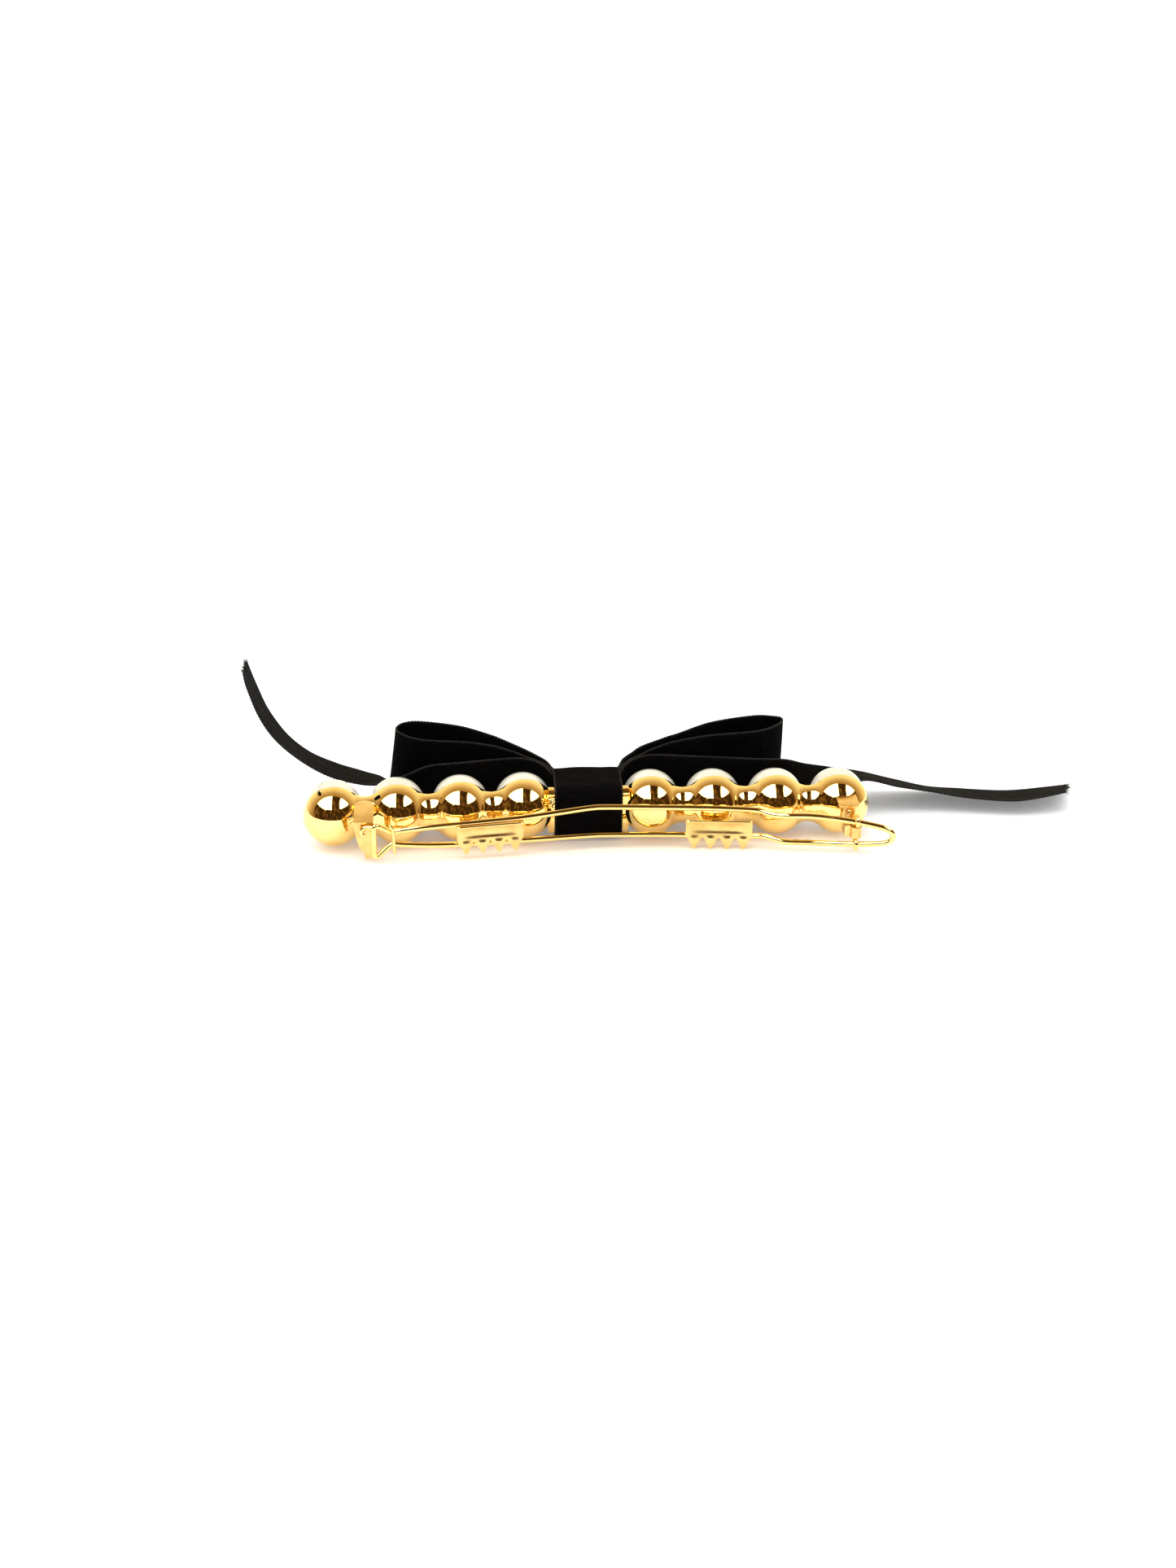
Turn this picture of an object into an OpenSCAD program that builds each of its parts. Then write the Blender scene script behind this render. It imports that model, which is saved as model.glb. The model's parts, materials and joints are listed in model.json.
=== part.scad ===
// Hair barrette: a cast row of eight cups that each hold a half-drilled pearl, a
// ribbon bow bound to the middle of the row, and a hinged arm of spring wire with
// two toothed comb plates at the back.
//
// Millimetres. The barrette stands on its long edge, as it does on a table: +X runs
// along the row, +Y points to the pearl side and +Z is up. The origin is the middle
// of the hair gap, between the bound bridge of the row and the arm.
//
// The metal is drawn in the row's own frame, whose origin is the middle of the row:
// x along the row, y out through the pearls, z across the row. stand() then leans
// that frame back until the cups and the catch both touch the table.

/* [Row of cups] */
// Distance between neighbouring cup centres
pitch = 9.2; // [9.1:0.05:9.3]
// Distance between the two cups on either side of the bow
mid_gap = 18.6; // [18.4:0.1:19]
// Outer radius of a cup
cup_r = 4.45; // [4.4:0.05:4.5]
// Radius of the round necks between the cups
neck_r = 2.75; // [2.5:0.05:2.9]
// Radius of the long curve that the row follows
row_r = 720; // [600:20:2000]

/* [Pearls] */
// Radius of a pearl
pearl_r = 4.1; // [3.9:0.05:4.15]
// How far a pearl's centre stands in front of its cup's centre
pearl_out = 2.3; // [2.2:0.1:2.5]
// Radius of the peg that a pearl is glued on
peg_r = 0.45; // [0.3:0.05:0.6]

/* [Arm] */
// Diameter of the spring wire
wire_d = 0.84; // [0.7:0.02:0.84]
// Radius of the hinge pin
pin_r = 0.4; // [0.35:0.01:0.42]
// Running clearance between the pin and the bracket's knuckle, on the radius
pin_play = 0.05; // [0.03:0.01:0.08]

/* [Ribbon] */
// Width of the ribbon that makes the band, the loops and the tails
ribbon_w = 10; // [10:0.1:10.4]
// Thickness of the ribbon
ribbon_t = 0.3; // [0.2:0.05:0.3]

/* [Hidden] */
$fn = 72;
GOLD = "#E3B457";
PEARL = "#F3EFE2";
VELVET = "#0D0C0E";

cups_per_side = 4;
peg_fit = 0.04;          // the glue line round a peg
seat_fit = 0.03;         // the glue line under a pearl
rim_y = 0.5;             // the cup's rim, in front of its centre
bridge_front = 0.1;      // the flat front of the bridge
peg_end = 1.4;           // the peg's tip, in front of the cup's centre
gap_y = -3.6;            // the middle of the hair gap
eps = 0.01;

// Each half of the row is straight and turned back a little, so that the whole row
// follows a long curve
half_len = (cups_per_side - 1) * pitch;
row_turn = asin((mid_gap + half_len) / (2 * row_r));
cup_count = 2 * cups_per_side;
// Side of the row that a cup is on, and its place along that side, from the middle
function side_of(i) = i < cups_per_side ? -1 : 1;
function rank_of(i) = i < cups_per_side ? cups_per_side - 1 - i : i - cups_per_side;
function cup_x(i) = side_of(i) * (mid_gap / 2 + rank_of(i) * pitch * cos(row_turn));
function cup_y(i) = -rank_of(i) * pitch * sin(row_turn);

// Sheet metal brackets
sheet_t = 0.35;
catch_left = -33.9;      // the catch's flange, along the row
catch_right = -31.1;
catch_top = 2.8;
catch_back = -8.1;       // the outer face of the catch's web
catch_drop = 3.1;        // the web's lowest point, under the row's middle
// Left edge of the catch's web, from the fold down to its lowest point
catch_outline = [[catch_left, 1.9], [-33.75, 1.1], [-33.55, 0], [-33.25, -1.15],
    [-32.85, -1.9], [-32.4, -2.5], [-31.9, -2.9], [-31.4, -catch_drop]];
bracket_x = 37.3;
bracket_w = 3;
bracket_top = 2.95;
bracket_back = -7.2;
bracket_web_w = 1.8;
rivet_r = 0.3;
hinge_x = 38;
hinge_y = -9.3;
eye_y = -9.85;            // the middle of the pin's eyes, on the rails
eye_z = 1.87;
knuckle_r = 0.85;
knuckle_half = 0.88;
pin_half = 2.6;

// The lean at which the inner cups and the catch both rest on the table
catch_reach = norm([catch_back, catch_drop]);
lean = asin(cup_r / catch_reach) - atan(catch_drop / -catch_back);

// Upper rail of the wire, from the middle of the end bar to the middle of the bend
// behind the hinge: x, y, height over the arm's middle. The lower rail mirrors it.
rail = [[-31.1, -8.85, 0], [-31.1, -8.85, 1.3], [-31.05, -8.85, 2.2], [-30.6, -8.7, 2.45],
    [-29.7, -8.3, 1.8], [-28.5, -7.9, 1], [-27.2, -7.8, 1.12], [-24, -7.65, 1.42],
    [-20, -7.4, 1.62], [-14.5, -6.8, 1.72], [-9.5, -6.2, 1.85], [-4, -5.3, 2.1],
    [0, -4.65, 2.28], [2.5, -4.55, 2.3], [9, -4.9, 2.25], [14, -5.25, 2.25],
    [19, -5.8, 2.28], [23.8, -6.3, 2.15], [25.2, -6.85, 1.95], [26.6, -7.65, 1.98],
    [28.2, -8.2, 2.15], [32, -8.6, 2.18], [37, -9.7, 1.92], [41, -10.7, 1.42],
    [42.5, -11.1, 0.95], [43, -11.25, 0.35]];
rail_steps = 3;
wire_sides = 8;

// Comb plates: middle and turn of the plate, then heights of its top edge and fold
comb_len = 9.5;
comb_teeth = 4;
comb_tilt = 15;
comb_hem = 0.3;
left_comb = [-14.5, -7.42, 6.5, 1.5, -0.8];
right_comb = [18.6, -6.38, -5.8, 0.55, -1.85];
tooth_len = 1.9;
cross_pin_r = 0.2;

// The bound middle: bridge, then tails, then loops, inside the band
bridge_half = 3.6;
bridge_back = -2.1;
knot_front = 2.85;
bound_half = 3.8;
root_half = 3.3;         // half the loops' height inside the band
loop_root_y = 3.75;
band_play = 0.08;
band_half = 4.78;          // half the band's width, drawn in a little by the binding
band_front = 4.85;         // the band's inner face, in front of the loops' roots
band_corner = 1.3;

// Middle line of a loop's ribbon in plan, from its near root round to its far root
function loop_line(reach, near_y, far_y) = [[0.1, loop_root_y], [4.3, loop_root_y],
    [5, 4.15], [5.4, 4.9], [6.1, 5.8], [7.1, 6.6], [8.5, 7.3], [11, 8.8],
    [0.6 * reach, near_y - 1.2], [0.86 * reach, near_y], [reach - 0.7, near_y + 2.2],
    [reach, near_y + 4], [reach - 1.2, far_y - 0.3], [0.86 * reach, far_y],
    [0.64 * reach, far_y - 1.9], [0.45 * reach, far_y - 5.6], [9, 9.9], [7.2, 8.3],
    [5.9, 7], [5.3, 5.8], [5, 4.9], [4.5, loop_root_y + 0.55], [3.8, loop_root_y + 0.45],
    [0.1, loop_root_y + 0.45]];
left_loop = [28.6, 12.3, 18.2];
right_loop = [30.8, 12.6, 17.6];
loop_steps = 3;

// Where a tail starts, under the band and then along the pearls, in the row's frame:
// x, y, and the heights of the ribbon's lower and upper edges
tail_start = [[3.6, 3.2, -3.6, 3.6], [4.7, 3.2, -3.6, 3.6], [5.15, 3.5, -3.7, 3.7],
    [5.5, 4.3, -3.8, 3.8], [6.2, 5.3, -3.9, 4], [7.3, 6.15, -4.2, 4.2],
    [8.8, 6.65, -4.6, 4.4], [11, 6.75, -5, 4.5], [18.5, 6.65, -5.5, 4]];
function on_row(x, y, z) = [x, y * cos(lean) - z * sin(lean), y * sin(lean) + z * cos(lean)];
// The tails, as pairs of points on the ribbon's two edges, in the table's own
// directions and from the middle of the row
right_tail = concat([for (p = tail_start) [on_row(p[0], p[1], p[2]), on_row(p[0], p[1], p[3])]],
    [[[26, 7.6, -4.3], [26, 6.1, 4.5]],
    [[30.5, 6.6, -4.2], [30.5, 9, 3.3]], [[34, 5.5, -3.8], [34, 12.5, 1.4]],
    [[38, 6, -1.4], [38.6, 15.5, -0.3]], [[42, 7, 0.5], [43.5, 16.6, -1.5]],
    [[47.5, 7.2, -0.7], [48.5, 16.8, -2.9]], [[52.8, 7, -1.6], [53.6, 16.5, -4.1]],
    [[58, 6, -2.3], [58.8, 15.6, -4.35]], [[64.5, 4.6, -2.5], [65.2, 14.2, -4.35]],
    [[69, 4.8, -2.1], [70.5, 14.4, -4.2]], [[72.3, 5.4, -1.7], [75.2, 14.8, -3.9]]]);
left_tail = concat([for (p = tail_start) [on_row(-p[0], p[1], p[3]), on_row(-p[0], p[1], p[2])]],
    [[[-23, 6.2, 4.6], [-23, 8.6, -4.1]], [[-26.5, 5.7, 3.4], [-26.3, 12, -3.6]],
    [[-30.5, 5, 2.4], [-29.4, 14.4, -0.2]], [[-34.2, 5, 2.8], [-32.8, 14.5, 1.2]],
    [[-38, 5, 4.1], [-36.6, 14.5, 2.5]], [[-42, 5, 6.7], [-40.6, 14.5, 4.4]],
    [[-45.3, 5, 9.9], [-43.9, 14.5, 7.2]], [[-47.4, 5, 13.4], [-46.5, 14.5, 11]],
    [[-48.9, 5.2, 17.6], [-48, 14.6, 14.4]], [[-49.3, 5.6, 19.4], [-49.4, 14.2, 18.6]]]);
tail_steps = 2;

// A point on the smooth curve through a list of points, t of the way from point i
function through(p, i, t, closed = false) =
    let (n = len(p),
        a = closed ? p[(i - 1 + n) % n] : p[max(i - 1, 0)],
        b = p[i],
        c = closed ? p[(i + 1) % n] : p[min(i + 1, n - 1)],
        d = closed ? p[(i + 2) % n] : p[min(i + 2, n - 1)])
    0.5 * (2 * b + (c - a) * t + (2 * a - 5 * b + 4 * c - d) * t * t
        + (3 * b - a - 3 * c + d) * t * t * t);
function smooth_open(p, steps) = concat([for (i = [0 : len(p) - 2], s = [0 : steps - 1])
    through(p, i, s / steps)], [p[len(p) - 1]]);
function smooth_closed(p, steps) = [for (i = [0 : len(p) - 1], s = [0 : steps - 1])
    through(p, i, s / steps, true)];
function unit(v) = v / norm(v);
function reversed(p) = [for (i = [len(p) - 1 : -1 : 0]) p[i]];
// Direction of travel at point i of an open line
function heading(p, i) = unit(p[min(i + 1, len(p) - 1)] - p[max(i - 1, 0)]);

// Stands the row's frame on the table
module stand() {
    rotate([lean, 0, 0]) translate([0, -gap_y, 0]) children();
}

// Puts what is drawn from the middle of the row, in the table's directions
module on_table() {
    translate([0, -gap_y * cos(lean), -gap_y * sin(lean)]) children();
}

// A strip of ribbon between the two edges of a tail
module ribbon_strip(edges) {
    near = smooth_open([for (e = edges) e[0]], tail_steps);
    far = smooth_open([for (e = edges) e[1]], tail_steps);
    n = len(near);
    side = [for (i = [0 : n - 1])
        unit(cross(heading(near, i) + heading(far, i), far[i] - near[i])) * ribbon_t / 2];
    points = [for (i = [0 : n - 1])
        each [near[i] - side[i], near[i] + side[i], far[i] + side[i], far[i] - side[i]]];
    faces = concat([[0, 1, 2, 3]], [[for (k = [3 : -1 : 0]) 4 * (n - 1) + k]],
        [for (i = [0 : n - 2], k = [0 : 3]) each
            [[4 * i + k, 4 * (i + 1) + k, 4 * i + (k + 1) % 4],
            [4 * (i + 1) + k, 4 * (i + 1) + (k + 1) % 4, 4 * i + (k + 1) % 4]]]);
    polyhedron(points, faces);
}

// A closed ring of round wire along a closed line
module wire_ring(line, r, sides) {
    n = len(line);
    points = [for (i = [0 : n - 1])
        let (t = unit(line[(i + 1) % n] - line[(i - 1 + n) % n]),
            u = unit(cross(t, [0, 1, 0])),
            v = cross(u, t))
        for (k = [0 : sides - 1])
            line[i] + r * (cos(360 * k / sides) * u + sin(360 * k / sides) * v)];
    faces = [for (i = [0 : n - 1], k = [0 : sides - 1])
        let (a = i * sides, b = (i + 1) % n * sides, m = (k + 1) % sides)
        each [[a + k, a + m, b + k], [a + m, b + m, b + k]]];
    polyhedron(points, faces);
}

// A box with its long edges rounded, round the x axis
module rounded_bar(x0, x1, y0, y1, half_z, r) {
    translate([x0, 0, 0]) rotate([90, 0, 90]) linear_extrude(x1 - x0) {
        translate([y0 + r, -half_z]) square([y1 - y0 - 2 * r, 2 * half_z]);
        translate([y0, -half_z + r]) square([y1 - y0, 2 * half_z - 2 * r]);
        for (y = [y0 + r, y1 - r], z = [-half_z + r, half_z - r])
            translate([y, z]) circle(r = r);
    }
}

// Puts what is drawn round a cup's centre at cup i, with y out through its pearl
module at_cup(i) {
    translate([cup_x(i), cup_y(i), 0]) rotate([0, 0, -side_of(i) * row_turn]) children();
}

// One half of the row as full balls and round necks
module half_row_solid(side) {
    translate([side * mid_gap / 2, 0, 0]) rotate([0, 0, -side * row_turn])
        mirror([side < 0 ? 1 : 0, 0, 0]) rotate([0, 90, 0]) rotate([0, 0, 90])
            rotate_extrude() intersection() {
                union() {
                    for (k = [0 : cups_per_side - 1]) translate([0, k * pitch]) circle(r = cup_r);
                    square([neck_r, half_len]);
                }
                translate([0, -2 * cup_r]) square([2 * cup_r, half_len + 4 * cup_r]);
            }
}

// One half of the row, cut back to the cups' rims and hollowed for the pearls
module half_row(side) {
    first = side < 0 ? 0 : cups_per_side;
    difference() {
        half_row_solid(side);
        translate([side * mid_gap / 2, 0, 0]) rotate([0, 0, -side * row_turn])
            translate([side < 0 ? -half_len - 2 * cup_r : -2 * cup_r, rim_y, -2 * cup_r])
                cube([half_len + 4 * cup_r, 2 * cup_r, 4 * cup_r]);
        for (i = [first : first + cups_per_side - 1]) at_cup(i)
            translate([0, pearl_out, 0]) sphere(r = pearl_r + seat_fit);
    }
}

// The post that a pearl is glued on
module peg() {
    root_y = pearl_out - pearl_r - 1;
    translate([0, root_y, 0]) rotate([-90, 0, 0]) cylinder(r = peg_r, h = peg_end - root_y);
}

// The bar under the ribbon, which joins the two halves of the row
module bridge() {
    rounded_bar(-mid_gap / 2 + cup_r - 1, mid_gap / 2 - cup_r + 1, bridge_back, bridge_front,
        bridge_half, 0.9);
}

// A drop of solder beside the band
module solder_bead() {
    translate([-5.75, -2.35, 2.3]) sphere(r = 0.62);
    translate([-5.65, -2.3, 1.5]) sphere(r = 0.5);
}

module cup_casting() {
    stand() color(GOLD) {
        for (side = [-1, 1]) half_row(side);
        bridge();
        solder_bead();
        for (i = [0 : cup_count - 1]) at_cup(i) peg();
    }
}

module pearl(i) {
    stand() color(PEARL) at_cup(i - 1) difference() {
        translate([0, pearl_out, 0]) sphere(r = pearl_r);
        translate([0, peg_end + 0.2, 0]) rotate([90, 0, 0])
            cylinder(r = peg_r + peg_fit, h = 2 * pearl_r);
    }
}

// A flange on the row's first neck, folded down into a web that the arm closes on
module catch_bracket() {
    flange_w = catch_right - catch_left;
    stand() color(GOLD) difference() {
        union() {
            translate([0, 0, catch_top - sheet_t]) linear_extrude(sheet_t) {
                translate([catch_left, catch_back])
                    square([flange_w, -1.7 - flange_w / 2 - catch_back]);
                translate([catch_left + flange_w / 2, -1.7 - flange_w / 2])
                    circle(d = flange_w);
            }
            translate([0, catch_back + sheet_t, 0]) rotate([90, 0, 0]) linear_extrude(sheet_t)
                polygon(concat([[catch_right, catch_top], [catch_left, catch_top]], catch_outline,
                    [[catch_right, -catch_drop]]));
            translate([-32.4, catch_back, -catch_drop]) cube([0.9, 1.1, sheet_t]);
        }
        half_row_solid(-1);
    }
}

// A flange on the last cup, folded down into a web with a rolled knuckle for the pin
module hinge_bracket() {
    bore = pin_r + pin_play;
    web_x = bracket_x - bracket_web_w / 2;
    stand() color(GOLD) difference() {
        union() {
            translate([0, 0, bracket_top - sheet_t]) linear_extrude(sheet_t) {
                translate([bracket_x - bracket_w / 2, bracket_back + 0.6])
                    square([bracket_w, -1.5 - bracket_back - 0.6]);
                translate([bracket_x - bracket_w / 2 + 0.6, bracket_back])
                    square([bracket_w - 1.2, 1]);
                for (s = [-1, 1])
                    translate([bracket_x + s * (bracket_w / 2 - 0.6), bracket_back + 0.6])
                        circle(r = 0.6);
            }
            translate([web_x, bracket_back, -knuckle_half])
                cube([bracket_web_w, sheet_t, bracket_top + knuckle_half - eps]);
            translate([web_x, hinge_y, -knuckle_half])
                cube([hinge_x - web_x, bracket_back + sheet_t - hinge_y, 2 * knuckle_half]);
            translate([web_x + 0.3, bracket_back, -knuckle_half])
                cube([bracket_web_w - 0.6, 4, 2 * knuckle_half]);
            translate([hinge_x, hinge_y, -knuckle_half])
                cylinder(r = knuckle_r, h = 2 * knuckle_half);
        }
        half_row_solid(1);
        translate([hinge_x, hinge_y, -knuckle_half - 1]) cylinder(r = bore, h = 2 * knuckle_half + 2);
        translate([bracket_x, bracket_back - 1, 2]) rotate([-90, 0, 0])
            cylinder(r = rivet_r, h = 3);
    }
}

// The pin, with an eye at each end that is closed round a rail of the arm
module hinge_pin() {
    eye_r = wire_d / 2 + 0.2;
    stand() color(GOLD) {
        translate([hinge_x, hinge_y, -pin_half]) cylinder(r = pin_r, h = 2 * pin_half);
        for (s = [-1, 1]) translate([hinge_x, eye_y, s * eye_z]) rotate([0, 90, 0])
            rotate_extrude() translate([eye_r, 0]) circle(r = 0.3);
    }
}

module arm_frame() {
    lower = [for (i = [len(rail) - 1 : -1 : 1]) [rail[i].x, rail[i].y, -rail[i].z]];
    stand() color(GOLD) wire_ring(smooth_closed(concat(rail, lower), rail_steps), wire_d / 2,
        wire_sides);
}

// A folded plate across the rails: hem along the top, teeth bent out from the fold
module comb(c) {
    top = c[3];
    fold = c[4];
    step = comb_len / comb_teeth;
    stand() color(GOLD) translate([c[0], c[1], 0]) rotate([0, 0, c[2]]) {
        translate([-comb_len / 2, -sheet_t / 2, fold]) cube([comb_len, sheet_t, top - fold]);
        translate([-comb_len / 2, -sheet_t / 2 - 0.15, top - comb_hem])
            cube([comb_len, sheet_t, comb_hem]);
        for (s = [-1, 1]) translate([s * (comb_len / 2 - sheet_t / 2) - sheet_t / 2, 0, top - 1.1])
            cube([sheet_t, 0.9, 0.8]);
        translate([0, 0, fold + 0.15]) rotate([-comb_tilt, 0, 0])
            translate([0, sheet_t / 2, 0]) rotate([90, 0, 0]) linear_extrude(sheet_t)
                polygon(concat([[comb_len / 2, 0.15], [-comb_len / 2, 0.15], [-comb_len / 2, -0.15]],
                    [for (i = [0 : comb_teeth - 1]) let (x = (i + 0.5) * step - comb_len / 2) each
                        [[x - 0.12, -tooth_len], [x + 0.12, -tooth_len], [x + step / 2, -0.15]]]));
    }
}

module comb_left() {
    comb(left_comb);
}

module comb_right() {
    comb(right_comb);
}

// A fine wire across the waist of the arm, which keeps the two rails together
module cross_pin() {
    stand() color(GOLD) translate([-28.3, -8.35, -2.3]) cylinder(r = cross_pin_r, h = 4.7);
}

// The gathered middle of the ribbons, on the front of the bridge
module bow_knot() {
    stand() color(VELVET)
        rounded_bar(-4.75, 4.75, bridge_front + 0.03, knot_front, bound_half, 0.8);
}

// One loop of ribbon, tapered in to the height of the knot at its root
module bow_loop(shape) {
    line = smooth_open(loop_line(shape[0], shape[1], shape[2]), loop_steps);
    n = len(line);
    out = [for (i = [0 : n - 1]) let (h = heading(line, i)) [h.y, -h.x] * ribbon_t / 2];
    intersection() {
        translate([0, 0, -ribbon_w / 2]) linear_extrude(ribbon_w)
            polygon(concat([for (i = [0 : n - 1]) line[i] + out[i]],
                reversed([for (i = [0 : n - 1]) line[i] - out[i]])));
        translate([0, 30, 0]) rotate([90, 0, 0]) linear_extrude(40)
            polygon([[-1, -root_half], [4.9, -root_half], [13, -ribbon_w / 2 - eps],
                [40, -ribbon_w / 2 - eps], [40, ribbon_w / 2 + eps],
                [13, ribbon_w / 2 + eps], [4.9, root_half], [-1, root_half]]);
    }
}

module bow_loop_left() {
    stand() color(VELVET) mirror([1, 0, 0]) bow_loop(left_loop);
}

module bow_loop_right() {
    stand() color(VELVET) bow_loop(right_loop);
}

module tail_left() {
    on_table() color(VELVET) ribbon_strip(left_tail);
}

module tail_right() {
    on_table() color(VELVET) ribbon_strip(right_tail);
}

// The band that binds the bow to the bridge
module center_band() {
    back = bridge_back - band_play;
    front = band_front;
    half = bound_half + band_play;
    stand() color(VELVET) difference() {
        rounded_bar(-band_half, band_half, back - ribbon_t, front + ribbon_t,
            half + ribbon_t, band_corner);
        rounded_bar(-ribbon_w, ribbon_w, back, front, half, band_corner - ribbon_t);
    }
}

cup_casting();
catch_bracket();
hinge_bracket();
hinge_pin();
arm_frame();
comb_left();
comb_right();
cross_pin();
for (i = [1 : cup_count]) pearl(i);
bow_knot();
bow_loop_left();
bow_loop_right();
tail_left();
tail_right();
center_band();
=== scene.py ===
"""Visual model of a pearl hair barrette with a velvet bow.

The barrette stands on its long edge. A cast row of cups holds the pearls, a ribbon
bow is bound to its middle, and a hinged arm of spring wire closes behind the row.
Sizes are in millimetres in the row's own directions: x along the row, y out through
the pearls and z across the row. The stance turns them into the frame's metres.
"""

from __future__ import annotations

import json
import logging
import math
from dataclasses import dataclass, field
from enum import Enum
from typing import Any, Callable, Iterable, Sequence

import bmesh
import bpy
from mathutils import Matrix, Vector, noise

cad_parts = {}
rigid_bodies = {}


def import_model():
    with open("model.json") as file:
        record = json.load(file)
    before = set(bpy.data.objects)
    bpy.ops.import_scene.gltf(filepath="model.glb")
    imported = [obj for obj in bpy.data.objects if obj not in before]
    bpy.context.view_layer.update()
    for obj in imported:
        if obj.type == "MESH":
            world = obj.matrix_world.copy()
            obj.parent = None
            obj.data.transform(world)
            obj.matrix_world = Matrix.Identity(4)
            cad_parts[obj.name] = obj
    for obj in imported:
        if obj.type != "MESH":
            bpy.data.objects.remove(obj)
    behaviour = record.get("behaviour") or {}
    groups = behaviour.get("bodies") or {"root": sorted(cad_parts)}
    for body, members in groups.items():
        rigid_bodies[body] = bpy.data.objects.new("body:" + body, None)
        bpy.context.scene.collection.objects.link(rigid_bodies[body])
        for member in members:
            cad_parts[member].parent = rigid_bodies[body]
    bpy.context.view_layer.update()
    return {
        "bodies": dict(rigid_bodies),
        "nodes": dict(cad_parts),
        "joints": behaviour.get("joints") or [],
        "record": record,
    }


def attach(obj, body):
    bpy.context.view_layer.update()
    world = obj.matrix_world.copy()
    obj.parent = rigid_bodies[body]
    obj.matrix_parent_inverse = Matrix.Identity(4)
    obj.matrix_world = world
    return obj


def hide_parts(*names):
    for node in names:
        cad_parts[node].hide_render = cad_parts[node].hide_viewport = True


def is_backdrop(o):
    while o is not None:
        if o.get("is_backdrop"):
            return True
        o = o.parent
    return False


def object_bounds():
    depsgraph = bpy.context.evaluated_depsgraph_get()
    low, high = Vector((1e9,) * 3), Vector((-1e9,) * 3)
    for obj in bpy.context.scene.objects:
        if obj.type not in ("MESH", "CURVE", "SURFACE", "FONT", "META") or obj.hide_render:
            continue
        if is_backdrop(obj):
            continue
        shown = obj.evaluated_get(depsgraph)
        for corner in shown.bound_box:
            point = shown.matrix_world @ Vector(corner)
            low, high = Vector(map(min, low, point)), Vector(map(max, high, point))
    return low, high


LOG = logging.getLogger("barrette")
MM = 0.001

Point = tuple[float, float, float]
Colour = tuple[float, float, float]


class Body(Enum):
    """The rigid bodies that pieces ride on."""

    ROW = "row"
    ARM = "arm"


class Slot(Enum):
    """The record's material slots."""

    GOLD = "gold"
    PEARL = "pearl"
    VELVET = "velvet"


class Side(Enum):
    """The two ends of the row."""

    LEFT = -1
    RIGHT = 1


# ---------------------------------------------------------------- node trees


class Wire:
    """A value that runs through a node tree, with arithmetic that adds Math nodes."""

    def __init__(self, board: "Board", socket: Any) -> None:
        """Keep the tree and the output socket that carries the value."""
        self.board = board
        self.socket = socket

    def _math(self, operation: str, first: Any, second: Any) -> "Wire":
        """Add one Math node.

        Args:
            operation: The Math node's operation.
            first: The first value or wire.
            second: The second value or wire.

        Returns:
            The wire that carries the result.
        """
        return self.board.node("ShaderNodeMath", {"operation": operation}, {0: first, 1: second})

    def __add__(self, other: Any) -> "Wire":
        """Sum."""
        return self._math("ADD", self, other)

    def __radd__(self, other: Any) -> "Wire":
        """Sum with the wire second."""
        return self._math("ADD", other, self)

    def __sub__(self, other: Any) -> "Wire":
        """Difference."""
        return self._math("SUBTRACT", self, other)

    def __rsub__(self, other: Any) -> "Wire":
        """Difference with the wire second."""
        return self._math("SUBTRACT", other, self)

    def __mul__(self, other: Any) -> "Wire":
        """Product."""
        return self._math("MULTIPLY", self, other)

    def also(self, output: str) -> "Wire":
        """Return the wire from another output of the same node."""
        return Wire(self.board, self.socket.node.outputs[output])

    def stepped(self, low: float, high: float) -> "Wire":
        """Run from 0 below low to 1 above high, smoothly.

        Args:
            low: The value that becomes 0.
            high: The value that becomes 1.

        Returns:
            The wire that carries the step.
        """
        return self.board.node(
            "ShaderNodeMapRange",
            {"interpolation_type": "SMOOTHSTEP"},
            {"Value": self, "From Min": low, "From Max": high},
        )


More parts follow.
